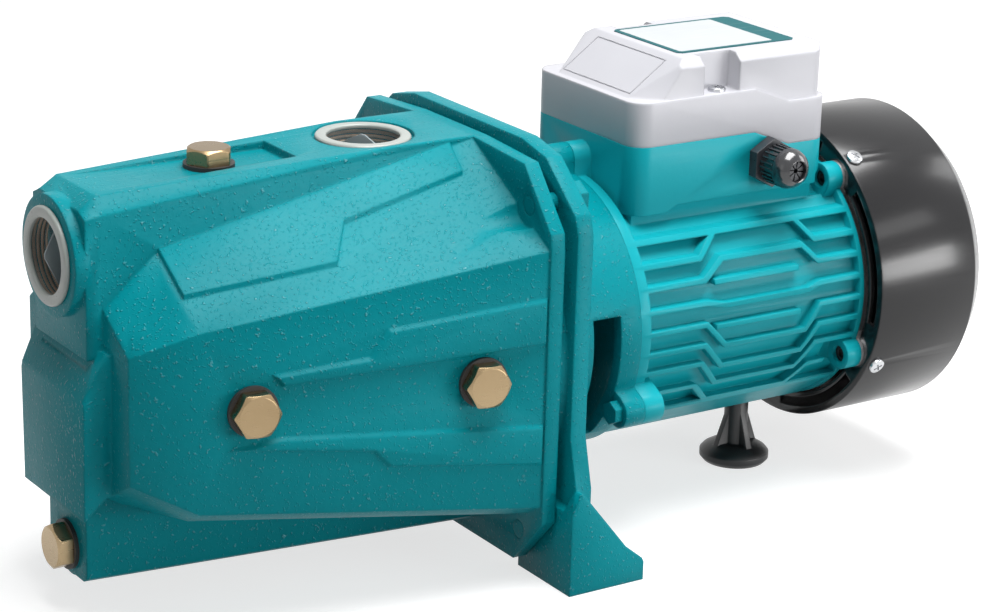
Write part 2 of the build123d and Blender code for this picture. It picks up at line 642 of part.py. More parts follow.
def diffuser():
    """Guide ring round the impeller with the neck that takes the venturi."""
    plate_x = IMPELLER_X - 1.5
    hole_r = IMPELLER_EYE_R + 3.0 + GAP
    neck_x = IMPELLER_X - 24.0
    step_x = IMPELLER_X - 8.0
    solid = shaft_tube(plate_x, plate_x + SHROUD_T, DIFFUSER_R, hole_r)
    solid += shaft_tube(plate_x, LAND_X, DIFFUSER_R, DIFFUSER_R - 2.6)
    solid += shaft_tube(step_x, plate_x + SHROUD_T, hole_r + 3.0, hole_r)
    solid += shaft_tube(step_x - SHROUD_T, step_x, hole_r + 3.0, EJECTOR_R)
    solid += shaft_tube(neck_x, step_x, EJECTOR_R + 3.0, EJECTOR_R)
    for i in range(DIFFUSER_VANES):
        angle = i * 360 / DIFFUSER_VANES
        vane = box(plate_x + SHROUD_T, LAND_X, -1.0, 1.0, SHAFT_Z + IMPELLER_R + 2.0, SHAFT_Z + DIFFUSER_R - 1.0)
        solid += spun(vane, angle)
        window = box(plate_x - 1, plate_x + SHROUD_T + 1, -7.0, 7.0, SHAFT_Z + 52.0, SHAFT_Z + DIFFUSER_R - 4.0)
        solid -= spun(window, angle + 180 / DIFFUSER_VANES)
    return solid


# ------------------------------------------------------------------ shaft seal
def seal_seat():
    """Fixed ceramic ring of the shaft seal."""
    return shaft_tube(SEAT_X, SEAT_END_X, SEAL_SEAT_R, SHAFT_SEAL_R + 1.0)


def seal_head():
    """Turning carbon ring and cup of the shaft seal."""
    cup = shaft_tube(SEAL_HEAD_X, SEAL_HEAD_X + SEAL_HEAD_T - 2.0, SEAL_HEAD_R, SHAFT_SEAL_R)
    face = shaft_tube(SEAL_HEAD_X, SEAL_HEAD_X + SEAL_HEAD_T, SEAL_HEAD_R - 2.5, SHAFT_SEAL_R)
    return cup + face


def seal_spring():
    """Coil spring between the impeller hub and the seal head."""
    start_x = IMPELLER_REAR_X + 1.0 + SPRING_WIRE_R
    length = SEAL_HEAD_X - SPRING_WIRE_R - start_x
    axis = Plane(origin=(start_x, 0, SHAFT_Z), x_dir=(0, 1, 0), z_dir=(1, 0, 0))
    path = axis * Helix(length / SPRING_TURNS, length, SPRING_COIL_R)
    section = Plane(origin=path @ 0, z_dir=path % 0) * Circle(SPRING_WIRE_R)
    return sweep(section, path=path)


def shaft_slinger():
    """Rubber ring that throws leaking drops off the shaft."""
    start = SEAL_HUB_END_X + 1.5
    return turned([(start, SHAFT_SEAL_R), (start + 3.0, SHAFT_SEAL_R), (start + 3.0, SHAFT_SEAL_R + 4.0),
                   (start + 2.0, SHAFT_SEAL_R + 7.5), (start + 0.6, SHAFT_SEAL_R + 7.5), (start, SHAFT_SEAL_R + 4.0)])


# ------------------------------------------------------------------ bracket
def plate_outline():
    """Half outline of the bracket plate with its leg, top to bottom."""
    top = SHAFT_Z + FLANGE_TOP
    rim = FLANGE_HALF_W + 1.5
    return [(42.0, top + 2.3), (60.0, top - 1.7), (rim - 2.5, top - 20.7), (rim, top - 28.7), (rim, SHAFT_Z - 26.0),
            (FOOT_HALF_W - 4.0, 44.6), (FOOT_HALF_W - 4.0, 4.0), (FOOT_INNER, 4.0), (FOOT_INNER - 4.0, 14.0)]


def foot_outline():
    """Side outline of a foot."""
    return [(-FOOT_FRONT, 0), (FOOT_REAR, 0), (FOOT_REAR, FOOT_T), (FOOT_REAR - 1.0, FOOT_T + 2.0), (9.6, 17.0),
            (PLATE_FRONT_X + 1.0, 44.6), (PLATE_FRONT_X, 44.6), (-FOOT_FRONT, 36.0)]


def pump_foot():
    """Foot of the bracket on the +Y side."""
    outline = foot_outline()
    gusset = xz_prism(FOOT_HALF_W - 6.0, FOOT_HALF_W, outline)
    inner = xz_prism(FOOT_INNER, FOOT_INNER + 4.0, outline)
    sole = box(-FOOT_FRONT, FOOT_REAR, FOOT_INNER, FOOT_HALF_W, 0, FOOT_T)
    front = box(-FOOT_FRONT, -FOOT_FRONT + 6.0, FOOT_INNER, FOOT_HALF_W, 0, 36.0)
    return gusset + inner + sole + front


def lug_places():
    """The bracket and frame lugs, as (y, z above the shaft)."""
    y, dz = LOWER_LUG
    return [(-y, dz), (y, dz), TOP_LUG]


def lug(x0, x1, y, dz):
    """Rounded lug beside the shaft, tied to the cylinder behind it."""
    reach = math.hypot(y, dz)
    root = (y * 50.0 / reach, dz * 50.0 / reach)
    side = (-dz / reach * LUG_R, y / reach * LUG_R)
    points = [(root[0] + side[0], SHAFT_Z + root[1] + side[1]), (y + side[0], SHAFT_Z + dz + side[1]),
              (y - side[0], SHAFT_Z + dz - side[1]), (root[0] - side[0], SHAFT_Z + root[1] - side[1])]
    return yz_prism(x0, x1, points) + shaft_rod(x0, x1, LUG_R, y, dz)


def pump_bracket():
    """Cast bracket: joint land, plate with two feet, seal housing, barrel and front bearing seat."""
    barrel_r = FIN_R + 1.4
    inner_r = barrel_r - 6.0
    band_x = FRAME_X - 10.0
    solid = yz_prism(PLATE_FRONT_X, BARREL_X, both_sides(plate_outline()))
    solid += shaft_rod(LAND_X, PLATE_FRONT_X + 1, LAND_R)
    for foot in mirrored(pump_foot()):
        solid += foot
    solid += turned([(BARREL_X - 1, 0), (BARREL_X - 1, barrel_r + 6), (BARREL_X + 6, barrel_r), (FRAME_X, barrel_r), (FRAME_X, 0)])
    solid -= shaft_rod(BARREL_X, FRAME_X + 1, inner_r)
    solid += shaft_rod(band_x, band_x + 5.0, inner_r + 1.0)
    solid += shaft_rod(BEARING_X - 3.0, FRAME_X - 1.5, FRONT_OUTER_R + 6.0)
    solid += shaft_rod(BARREL_X - 1, SEAL_HUB_END_X, SEAL_SEAT_R + 9.0)
    for y, dz in lug_places():
        solid += lug(band_x, FRAME_X, y, dz)
    solid += shaft_tube(FRAME_X - 0.5, FRAME_X + 4.0, FRAME_BORE_R, FRAME_BORE_R - 5.0)
    solid += shaft_tube(band_x + 2.0, FRAME_X, inner_r + 1.0, FRAME_BORE_R - 5.0)
    window = box(BARREL_X + 19.4, band_x - 0.6, 0, FOOT_HALF_W, SHAFT_Z - 45.0, SHAFT_Z + 13.0)
    for cut in mirrored(window & shaft_tube(BARREL_X, FRAME_X, barrel_r + 20.0, SEAL_SEAT_R + 12.0)):
        solid -= cut
    solid -= shaft_rod(LAND_X - 1, SEAT_X, SEAL_POCKET_R)
    solid -= shaft_rod(SEAT_X - 1, SEAT_END_X, SEAL_SEAT_R)
    solid -= shaft_rod(SEAT_END_X - 1, SEAL_HUB_END_X + 1, SHAFT_SEAL_R + 1.5)
    solid -= shaft_rod(BEARING_X, FRAME_X + 5.0, FRONT_OUTER_R)
    solid -= shaft_rod(BEARING_X - 4.0, BEARING_X + 1, FRONT_OUTER_R - 3.0)
    for y, dz in lug_places():
        solid -= shaft_rod(band_x - 1, FRAME_X + 1, LUG_BOLT_R, y, dz)
    for y, dz in casing_bolt_places():
        solid -= shaft_rod(LAND_X - 1, BARREL_X, CASING_BOLT_R, y, dz)
        solid -= shaft_rod(BARREL_X, BARREL_X + 20.0, 9.0, y, dz)
    for side in (-1, 1):
        solid -= rod((0, side * FOOT_HOLE_Y, -1), (0, 0, 1), FOOT_T + 20.0, FOOT_HOLE_R)
    return solid


def bracket_bolts():
    """Hexagon bolts through the bracket lugs into the motor frame."""
    bolts = []
    head_x = FRAME_X - 10.0
    for y, dz in lug_places():
        shank = shaft_rod(head_x, FRAME_X + 10.0, LUG_BOLT_R, y, dz)
        bolts.append(shank + hex_rod((head_x, y, SHAFT_Z + dz), (-1, 0, 0), 4.0, 9.0))
    return bolts


# ------------------------------------------------------------------ bearings
def bearing(x0, width, bore_r, outer_r, balls):
    """Outer ring, inner ring and the caged balls of a ball bearing."""
    centre_x = x0 + width / 2
    pitch_r = (bore_r + outer_r) / 2
    ball_r = (outer_r - bore_r) * 0.29
    track = revolve(Plane(origin=(centre_x, 0, SHAFT_Z + pitch_r), z_dir=(0, -1, 0)) * Circle(ball_r + PLAY),
                    axis=Axis((0, 0, SHAFT_Z), (1, 0, 0)), revolution_arc=360)
    outer = shaft_tube(x0, x0 + width, outer_r, pitch_r + ball_r * 0.62) - track
    inner = shaft_tube(x0, x0 + width, pitch_r - ball_r * 0.62, bore_r) - track
    cage = shaft_tube(centre_x - ball_r * 0.8, centre_x + ball_r * 0.8, pitch_r + ball_r * 0.3, pitch_r - ball_r * 0.3)
    spheres = []
    for i in range(balls):
        place = Pos(centre_x, 0, SHAFT_Z + pitch_r)
        spheres.append(spun(place * Sphere(ball_r), i * 360 / balls))
        cage -= spun(place * Sphere(ball_r + 2 * PLAY), i * 360 / balls)
    return outer, inner, [cage] + spheres


# ------------------------------------------------------------------ motor
def motor_shaft():
    """Stepped shaft from the impeller nut to the cooling fan."""
    step_x = IMPELLER_REAR_X + 1.0
    bearing_x = BEARING_X - 1.0
    rotor_x = BEARING_X + FRONT_WIDTH
    rear_x = REAR_BEARING_X
    fan_x = rear_x + REAR_WIDTH + 3.0
    steps = [(IMPELLER_X - 8.0, step_x, SHAFT_TIP_R), (step_x, bearing_x, SHAFT_SEAL_R), (bearing_x, rotor_x, FRONT_BORE_R),
             (rotor_x, rear_x, SHAFT_ROTOR_R), (rear_x, fan_x, REAR_BORE_R), (fan_x, fan_x + 28.0, SHAFT_FAN_R)]
    points = [(steps[0][0], 0)]
    for x0, x1, radius in steps:
        points += [(x0, radius), (x1, radius)]
    points.append((steps[-1][1], 0))
    return turned(points)


def rotor_core():
    """Squirrel cage rotor with its end rings and fan stubs."""
    solid = shaft_tube(STATOR_X, STATOR_X + STATOR_LENGTH, ROTOR_R, SHAFT_ROTOR_R)
    solid += shaft_tube(STATOR_X - 6.0, STATOR_X + STATOR_LENGTH + 6.0, ROTOR_R - 1.5, ROTOR_R - 10.0)
    return solid


def stator_core():
    """Laminated stator ring."""
    bore = ROTOR_R + AIR_GAP
    solid = shaft_tube(STATOR_X, STATOR_X + STATOR_LENGTH, FRAME_BORE_R, bore)
    for i in range(24):
        slot = box(STATOR_X - 1, STATOR_X + STATOR_LENGTH + 1, -1.9, 1.9, SHAFT_Z + bore + 1.5, SHAFT_Z + bore + 11.0)
        solid -= spun(slot, i * 15)
    return solid


def stator_windings():
    """Winding sides in the slots and both end turns."""
    bore = ROTOR_R + AIR_GAP
    end_x = STATOR_X + STATOR_LENGTH
    ring = [(0, bore + 2.0), (0, bore + 11.5), (WINDING_LENGTH - 3, bore + 13.5), (WINDING_LENGTH, bore + 11.0), (WINDING_LENGTH, bore + 4.0)]
    solid = turned([(end_x + x, r) for x, r in ring]) + turned([(STATOR_X - x, r) for x, r in ring])
    for i in range(24):
        bar = box(STATOR_X - 1, end_x + 1, -1.8, 1.8, SHAFT_Z + bore + 2.6, SHAFT_Z + bore + 10.4)
        solid += spun(bar, i * 15)
    return solid


def fin_lines():
    """Side view of the cooling ribs, as lists of (x from the frame front, z above the shaft)."""
    front, knee, rise, fall, crook, rear = 6.0, 36.0, 47.0, 91.0, 98.5, FRAME_LENGTH - 2.0
    lines = [[(front, 38.4), (rear, 38.4)], [(front, 29.4), (knee, 29.4), (rise, 38.4)],
             [(fall, 38.4), (crook, 29.4), (rear, 29.4)]]
    steps = [(20.5, 28.0), (11.0, 8.7), (1.5, -9.5), (-8.0, -19.6), (-17.0, -28.6), (-28.5, -38.5)]
    for outer_z, middle_z in steps:
        lines.append([(front, outer_z), (knee, outer_z), (rise, middle_z), (fall, middle_z), (crook, outer_z), (rear, outer_z)])
    for z in (19.2, -0.2):
        lines.append([(knee + 5.0, z), (fall - 4.0, z)])
    lines.append([(front + 16.0, -40.0), (rear, -40.0)])
    return lines


def cooling_ribs():
    """Ribs on one side of the frame, cut to the round envelope."""
    envelope = shaft_tube(FRAME_X, FRAME_END_X, FIN_R, FRAME_SKIN_R - 1.0)
    plane = Plane(origin=(FRAME_X, 0, SHAFT_Z), x_dir=(1, 0, 0), z_dir=(0, -1, 0))
    ribs = []
    for points in fin_lines():
        ribbon = plane * trace(Polyline(*points), line_width=FIN_T)
        ribs.append(extrude(ribbon, amount=FIN_R + 5.0) & envelope)
    return ribs


def box_plan(inset):
    """Upright block with rounded corners round the terminal box."""
    length = BOX_LENGTH - 2 * inset
    width = 2 * (BOX_HALF_W - inset)
    middle = Plane(origin=((BOX_X + BOX_END_X) / 2, 0, SHAFT_Z))
    return extrude(middle * RectangleRounded(length, width, BOX_CORNER_R - inset), amount=SEAM_DZ + LID_TOP_H + 20.0)


def terminal_box_base():
    """Box cast on top of the frame, with its stepped seam."""
    top = [(BOX_X, SEAM_Z), (BOX_X + SEAM_STEP_START, SEAM_Z), (BOX_X + SEAM_STEP_END, LOW_SEAM_Z), (BOX_END_X, LOW_SEAM_Z)]
    low = SHAFT_Z + BOX_BOTTOM_DZ
    bottom = [(BOX_END_X, low + 3.0), (BOX_X + 23.0, low + 3.0), (BOX_X + 18.0, low), (BOX_X, low)]
    return xz_prism(-BOX_HALF_W, BOX_HALF_W, top + bottom) & box_plan(0.0)


def motor_frame():
    """Finned aluminium frame with its lugs and terminal box base."""
    solid = shaft_rod(FRAME_X, FRAME_END_X, FRAME_SKIN_R)
    solid += shaft_rod(FRAME_X, FRAME_X + END_RING_T, FIN_R) + shaft_rod(FRAME_END_X - 2.5, FRAME_END_X, FIN_R)
    solid += terminal_box_base()
    saddle_top = SHAFT_Z + BOX_BOTTOM_DZ + 4.0
    solid += box(BOX_X + 2.0, FRAME_END_X - 6.0, -BOX_HALF_W + 4.0, BOX_HALF_W - 4.0, SHAFT_Z + 30.0, saddle_top)
    belly = yz_prism(FRAME_X, FRAME_END_X, both_sides([(46.0, SHAFT_Z - 38.0), (22.0, SHAFT_Z - 55.6), (12.0, SHAFT_Z - FIN_R)]))
    solid += belly & shaft_rod(FRAME_X, FRAME_END_X, FIN_R)
    for rib in cooling_ribs():
        for shape in mirrored(rib):
            solid += shape
    for y, dz in lug_places():
        solid += lug(FRAME_X, FRAME_X + 10.0, y, dz)
    for y, dz in end_shield_bolt_places():
        solid += lug(FRAME_END_X - REAR_LUG_T, FRAME_END_X, y, dz)
    solid += rod((REAR_FOOT_X, 0, SHAFT_Z - FIN_R - 1.0), (0, 0, 1), 8.0, 8.0)
    solid -= shaft_rod(FRAME_X - 1, FRAME_END_X + 1, FRAME_BORE_R)
    cavity_floor = SHAFT_Z + BOX_BOTTOM_DZ + 10.0
    cavity = box(BOX_X, BOX_END_X, -BOX_HALF_W, BOX_HALF_W, cavity_floor, SEAM_Z + 1)
    solid -= cavity & box_plan(BOX_WALL)
    solid -= rod((STATOR_X - 8.0, 0, SHAFT_Z + 40.0), (0, 0, 1), 60.0, 7.0)
    gland_start = (BOX_X + GLAND_X, -BOX_HALF_W - 1, SHAFT_Z + GLAND_DZ)
    solid -= rod(gland_start, (0, 1, 0), BOX_WALL + 2.0, GLAND_THREAD_R)
    for y, dz in lug_places():
        solid -= shaft_rod(FRAME_X - 1, FRAME_X + 11.0, LUG_BOLT_R, y, dz)
    for y, dz in end_shield_bolt_places():
        solid -= shaft_rod(FRAME_END_X - REAR_LUG_T - 1.0, FRAME_END_X + 1, LUG_BOLT_R, y, dz)
        solid -= shaft_rod(FRAME_END_X - REAR_LUG_T - 7.0, FRAME_END_X - REAR_LUG_T, LUG_R, y, dz)
        solid -= shaft_rod(FRAME_END_X - REAR_LUG_T - 1.0, socket_seat_x(), SOCKET_HEAD_R + PLAY, y, dz)
    for side in (-1, 1):
        solid += lid_screw_post(side)
    solid -= rod((REAR_FOOT_X, 0, 0), (0, 0, 1), SHAFT_Z - FIN_R + 5.0, 3.0)
    return solid


def lid_screw_post(side):
    """Post inside the box that a lid screw bites into."""
    x = BOX_X + LID_SCREW_X
    post = rod((x, side * (LID_SCREW_Y - 1.5), SHAFT_Z + BOX_BOTTOM_DZ + 9.0), (0, 0, 1), SEAM_DZ - BOX_BOTTOM_DZ - 9.0, 4.0)
    return post - rod((x, side * LID_SCREW_Y, SEAM_Z - 12.0), (0, 0, 1), 20.0, 1.9)


def end_shield_bolt_places():
    """The four bolts of the rear end shield, as (y, z above the shaft)."""
    return [(side * y, dz) for y, dz in (REAR_LOWER_LUG, REAR_UPPER_LUG) for side in (-1, 1)]


def cover_screw_angles():
    """Turning angles of the fan cover screws about the shaft, from straight up."""
    return [math.degrees(math.atan2(-y, dz)) for y, dz in end_shield_bolt_places()]


def end_shield():
    """Rear end shield with the rear bearing seat and four ears for the fan cover."""
    end = FRAME_END_X
    ear_x = COVER_X + COVER_WALL + GAP
    inside_r = COVER_R - COVER_WALL
    solid = shaft_rod(end, end + SHIELD_T, FRAME_SKIN_R)
    solid += shaft_tube(end - 4.0, end + 1, FRAME_BORE_R, FRAME_BORE_R - 4.0)
    solid += shaft_rod(end - 3.0, REAR_BEARING_X + REAR_WIDTH + 4.0, REAR_OUTER_R + 5.0)
    for y, dz in end_shield_bolt_places():
        solid += lug(end, end + SHIELD_T, y, dz)
    for angle in cover_screw_angles():
        ear = box(ear_x, end + SHIELD_T + 4.0, -5.0, 5.0, SHAFT_Z + 45.0, SHAFT_Z + COVER_R)
        solid += spun(ear, angle) & shaft_rod(ear_x, end + SHIELD_T + 5.0, inside_r)
    solid -= shaft_rod(end - 5.0, REAR_BEARING_X + REAR_WIDTH + 1.0, REAR_OUTER_R)
    solid -= shaft_rod(end - 5.0, end + 40.0, REAR_BORE_R + 1.5)
    for y, dz in end_shield_bolt_places():
        solid -= shaft_rod(end - 1, end + SHIELD_BOLT_REACH, LUG_BOLT_R, y, dz)
    for angle in cover_screw_angles():
        solid -= spun(cover_screw_hole(), angle)
    return solid


def cover_screw_hole():
    """Upright hole for a fan cover screw."""
    return rod((FRAME_END_X + 6.4, 0, SHAFT_Z + COVER_R - 10.0), (0, 0, 1), 20.0, 1.9)


def socket_seat_x():
    """Face under the sunk screw heads of the rear lugs."""
    return FRAME_END_X - REAR_LUG_T + SOCKET_SINK + SOCKET_HEAD_T


def end_shield_screws():
    """Socket head screws sunk in the frame's rear lugs, into the end shield."""
    screws = []
    seat_x = socket_seat_x()
    for y, dz in end_shield_bolt_places():
        shank = shaft_rod(seat_x - 1, FRAME_END_X + SHIELD_BOLT_REACH, LUG_BOLT_R, y, dz)
        head = shaft_rod(seat_x - SOCKET_HEAD_T, seat_x, SOCKET_HEAD_R, y, dz)
        socket = hex_rod((seat_x - SOCKET_HEAD_T - 1, y, SHAFT_Z + dz), (1, 0, 0), SOCKET_HEAD_T, SOCKET_AF)
        screws.append(shank + head - socket)
    return screws


def wave_washer():
    """Preload washer behind the rear bearing."""
    start = REAR_BEARING_X + REAR_WIDTH
    return shaft_tube(start, start + 1.0, REAR_OUTER_R - 0.5, REAR_OUTER_R - 4.0)


def cooling_fan():
    """Radial fan with a back plate and straight blades."""
    start = REAR_BEARING_X + REAR_WIDTH + 8.0
    solid = shaft_tube(start, start + 2.4, FAN_R, SHAFT_FAN_R) + shaft_tube(start, start + 20.0, SHAFT_FAN_R + 5.0, SHAFT_FAN_R)
    for i in range(FAN_BLADES):
        blade = box(start + 1.0, start + 22.0, -1.1, 1.1, SHAFT_Z + SHAFT_FAN_R + 3.5, SHAFT_Z + FAN_R)
        solid += spun(blade, i * 360 / FAN_BLADES)
    return solid


def fan_clip():
    """Spring clip that keeps the fan on the shaft."""
    start = REAR_BEARING_X + REAR_WIDTH + 28.0
    return shaft_tube(start, start + 1.2, SHAFT_FAN_R + 3.0, SHAFT_FAN_R)


def cover_arc_slot(x0, x1, inner_r, outer_r, middle, spread):
    """Curved slot about the shaft, given its middle angle and its spread."""
    ring = shaft_tube(x0, x1, outer_r, inner_r)
    reach = outer_r * 2
    left = math.radians(middle - spread / 2)
    right = math.radians(middle + spread / 2)
    wedge = yz_prism(x0, x1, [(0, SHAFT_Z), (-reach * math.sin(left), SHAFT_Z + reach * math.cos(left)),
                              (-reach * math.sin(right), SHAFT_Z + reach * math.cos(right))])
    return ring & wedge


def fan_cover():
    """Fan cover: slotted front ring, round wall, chamfered rear and slotted grille."""
    wall = COVER_WALL
    end = COVER_END_X
    outer = [(COVER_X, 0), (COVER_X, COVER_R), (end - COVER_CHAMFER, COVER_R), (end, COVER_REAR_R), (end, 0)]
    inner = [(COVER_X + wall, 0), (COVER_X + wall, COVER_R - wall), (end - COVER_CHAMFER - 0.5, COVER_R - wall),
             (end - wall, COVER_REAR_R - wall), (end - wall, 0)]
    solid = turned(outer) - turned(inner)
    solid -= shaft_rod(COVER_X - 1, COVER_X + wall + 1, FIN_R + 1.0)
    for angle, spread in ((0.0, 40.0), (73.0, 54.0), (-73.0, 54.0), (152.0, 48.0), (-152.0, 48.0)):
        solid -= cover_arc_slot(COVER_X - 1, COVER_X + wall + 1, FIN_R + 3.0, COVER_R - 3.5, angle, spread)
    for y, dz in end_shield_bolt_places():
        solid -= shaft_rod(COVER_X - 1, COVER_X + wall + GAP, LUG_R + GAP, y, dz)
    for ring in range(5):
        inner_r = 12.0 + ring * 9.6
        for i in range(6):
            slot = cover_arc_slot(end - wall - 1, end + 1, inner_r, inner_r + 5.4, i * 60, 60.0 - 300.0 / inner_r)
            solid -= slot
    for angle in cover_screw_angles():
        solid -= spun(cover_screw_hole(), angle)
    return solid


def fan_cover_screws():
    """Pan head screws through the cover into the end shield's ears."""
    screws = []
    x = FRAME_END_X + 6.4
    for angle in cover_screw_angles():
        shank = rod((x, 0, SHAFT_Z + COVER_R - 10.0), (0, 0, 1), 10.5, 1.9)
        head = rod((x, 0, SHAFT_Z + COVER_R), (0, 0, 1), 2.0, 3.8)
        screws.append(spun(shank + head, angle))
    return screws


def rear_support_foot():
    """Rubber foot under the motor: round pad, ribbed column and a screw stud."""
    top = SHAFT_Z - FIN_R - 1.0
    pad = REAR_FOOT_DISC_T
    profile = [(0, 0), (REAR_FOOT_R - 1.5, 0), (REAR_FOOT_R, 1.8), (REAR_FOOT_R, pad - 1.6), (REAR_FOOT_R - 1.4, pad),
               (REAR_FOOT_DOME_R, pad + 1.6), (REAR_FOOT_DOME_R - 2.5, pad + 2.6), (REAR_FOOT_COLUMN_R, pad + 2.6),
               (REAR_FOOT_COLUMN_R, top), (3.0, top), (3.0, top + 6.0), (0, top + 6.0)]
    solid = turned_upright(REAR_FOOT_X, 0, profile)
    low = REAR_FOOT_DOME_R - 0.5
    high = REAR_FOOT_COLUMN_R - 0.3
    rib = xz_prism(-REAR_FOOT_RIB_T / 2, REAR_FOOT_RIB_T / 2,
                   [(REAR_FOOT_X - low, pad + 1.0), (REAR_FOOT_X + low, pad + 1.0),
                    (REAR_FOOT_X + high, REAR_FOOT_RIB_TOP), (REAR_FOOT_X - high, REAR_FOOT_RIB_TOP)])
    across = rib.rotate(Axis((REAR_FOOT_X, 0, 0), (0, 0, 1)), 90)
    return solid + rib + across


# ------------------------------------------------------------------ terminal box fittings
def seam_points(offset):
    """Seam line from front to rear, moved upwards."""
    return [(BOX_X, SEAM_Z + offset), (BOX_X + SEAM_STEP_START, SEAM_Z + offset),
            (BOX_X + SEAM_STEP_END, LOW_SEAM_Z + offset), (BOX_END_X, LOW_SEAM_Z + offset)]


def lid_gasket():
    """Thin gasket on the box's wall, inside the lid's skirt."""
    thickness = 0.8
    ring = seam_points(0.0) + list(reversed(seam_points(thickness)))
    strip = xz_prism(-BOX_HALF_W, BOX_HALF_W, ring)
    return strip & (box_plan(LID_WALL + PLAY) - box_plan(BOX_WALL))


def slope_facets(edge, top_z, low_z):
    """The two corner cuts beside the sloping front, as blocks outside their facets."""
    half = BOX_HALF_W - edge
    cuts = []
    for side in (-1, 1):
        peak = Vector(BOX_X + LID_SLOPE, side * half, top_z)
        front = Vector(BOX_X + edge, side * (half - LID_FACET), low_z)
        flank = Vector(BOX_X + edge + LID_FACET, side * half, low_z)
        outward = (flank - peak).cross(front - peak) * side
        plane = Plane(origin=peak, x_dir=front - peak, z_dir=outward)
        cuts.append(extrude(plane * Rectangle(200.0, 200.0), amount=60.0))
    return cuts


def lid_shape(inset, floor_offset, roof_drop):
    """Outer or inner volume of the lid."""
    wall_low = seam_points(floor_offset)
    wall_high = list(reversed(seam_points(LID_WALL_H - roof_drop)))
    skirt = xz_prism(-BOX_HALF_W, BOX_HALF_W, wall_low + wall_high)
    edge = LID_INSET + inset
    top_z = SEAM_Z + LID_TOP_H - roof_drop
    front_low = (BOX_X + edge, SEAM_Z + LID_WALL_H - roof_drop - 1.0)
    front_high = (BOX_X + LID_SLOPE + inset * 0.6, top_z)
    crown = xz_prism(-BOX_HALF_W + edge, BOX_HALF_W - edge,
                     [front_low, front_high, (BOX_END_X - edge, top_z), (BOX_END_X - edge, SEAM_Z + 6.0), (BOX_X + edge, SEAM_Z + 6.0)])
    half = BOX_HALF_W - edge
    shoulder = yz_prism(BOX_X, BOX_END_X, both_sides([(half - 4.0, top_z), (half, top_z - 3.5), (half, LOW_SEAM_Z)]))
    crown = crown & shoulder
    for cut in slope_facets(edge, top_z, front_low[1]):
        crown -= cut
    return (skirt & box_plan(inset)) + (crown & box_plan(edge))


def terminal_box_lid():
    """Moulded lid with a sloping front and two screw pockets."""
    solid = lid_shape(0.0, 0.0, 0.0)
    hollow = lid_shape(LID_WALL, -5.0, LID_WALL)
    x = BOX_X + LID_SCREW_X
    for side in (-1, 1):
        near = side * (BOX_HALF_W + 1.0)
        far = side * (BOX_HALF_W - 11.0)
        inside = side * (BOX_HALF_W - 11.0 - LID_WALL)
        pocket = box(x - POCKET_FRONT, x + POCKET_REAR, min(near, far), max(near, far), SEAM_Z + LID_WALL_H, SEAM_Z + 60)
        column = box(x - POCKET_FRONT - LID_WALL, x + POCKET_REAR + LID_WALL, min(near, inside), max(near, inside),
                     SEAM_Z - 10, SEAM_Z + 60)
        solid -= pocket
        hollow -= column
    solid -= hollow
    for side in (-1, 1):
        solid -= rod((x, side * LID_SCREW_Y, SEAM_Z - 12.0), (0, 0, 1), 60.0, 1.9)
    return solid - lid_gasket()


def lid_screws():
    """Pan head screws that hold the lid down."""
    screws = []
    seat_z = SEAM_Z + LID_WALL_H
    for side in (-1, 1):
        place = (BOX_X + LID_SCREW_X, side * LID_SCREW_Y)
        shank = rod((*place, SEAM_Z - 10.0), (0, 0, 1), seat_z - SEAM_Z + 10.0, 1.9)
        head = turned_upright(*place, [(0, seat_z), (3.9, seat_z), (3.6, seat_z + 1.4), (2.2, seat_z + 2.4), (0, seat_z + 2.7)])
        screws.append(shank + head)
    return screws


def rating_plate():
    """Blank plate on top of the lid."""
    top = SEAM_Z + LID_TOP_H
    x0 = BOX_X + LID_SLOPE + 4.0
    x1 = BOX_END_X - LID_INSET - 8.0
    return box(x0, x1, -25.0, 25.0, top, top + 0.4)


def terminal_board():
    """Moulded block that carries the terminal studs."""
    floor = SHAFT_Z + BOX_BOTTOM_DZ + 10.0
    return box(BOARD_X, BOARD_X + 30.0, -14.0, 14.0, floor, floor + 7.0)


def terminal_studs():
    """Brass studs with nuts on the terminal board."""
    floor = SHAFT_Z + BOX_BOTTOM_DZ + 17.0
    studs = []
    for x in (BOARD_X + 7.0, BOARD_X + 15.0, BOARD_X + 23.0):
        for y in (-7.0, 7.0):
            studs.append(hex_rod((x, y, floor), (0, 0, 1), 3.0, 6.0) + rod((x, y, floor), (0, 0, 1), 8.0, 1.8))
    return studs


def capacitor():
    """Run capacitor lying on the floor of the box."""
    radius = 13.0
    centre = (BOX_END_X - 21.0, -22.0, SHAFT_Z + BOX_BOTTOM_DZ + 10.0 + radius)
    tail = (centre[0], 22.0, centre[2])
    return rod(centre, (0, 1, 0), 44.0, radius) + rod(tail, (0, 1, 0), 4.0, 3.0)


def earth_screw():
    """Earth screw on the floor of the box."""
    floor = SHAFT_Z + BOX_BOTTOM_DZ + 10.0
    place = (BOX_X + 15.0, 24.0)
    return rod((*place, floor), (0, 0, 1), 3.0, 3.6) + rod((*place, floor), (0, 0, 1), 1.0, 5.0)


# ------------------------------------------------------------------ cable gland
def gland_point(outward):
    """Point on the gland's axis, a distance outside the box wall."""
    return (BOX_X + GLAND_X, -BOX_HALF_W - outward, SHAFT_Z + GLAND_DZ)


def gland_body():
    """Gland body: thread through the wall, hexagon and collar."""
    out = (0, -1, 0)
    solid = hex_rod(gland_point(0.0), out, GLAND_HEX_T, GLAND_HEX_AF)
    solid += rod(gland_point(-BOX_WALL - 1.0), out, BOX_WALL + 2.0, GLAND_THREAD_R)
    solid += rod(gland_point(GLAND_HEX_T - 1.0), out, 6.0, GLAND_NUT_R - 2.0)
    return solid - rod(gland_point(-BOX_WALL - 2.0), out, 40.0, GLAND_BORE_R + 1.2)


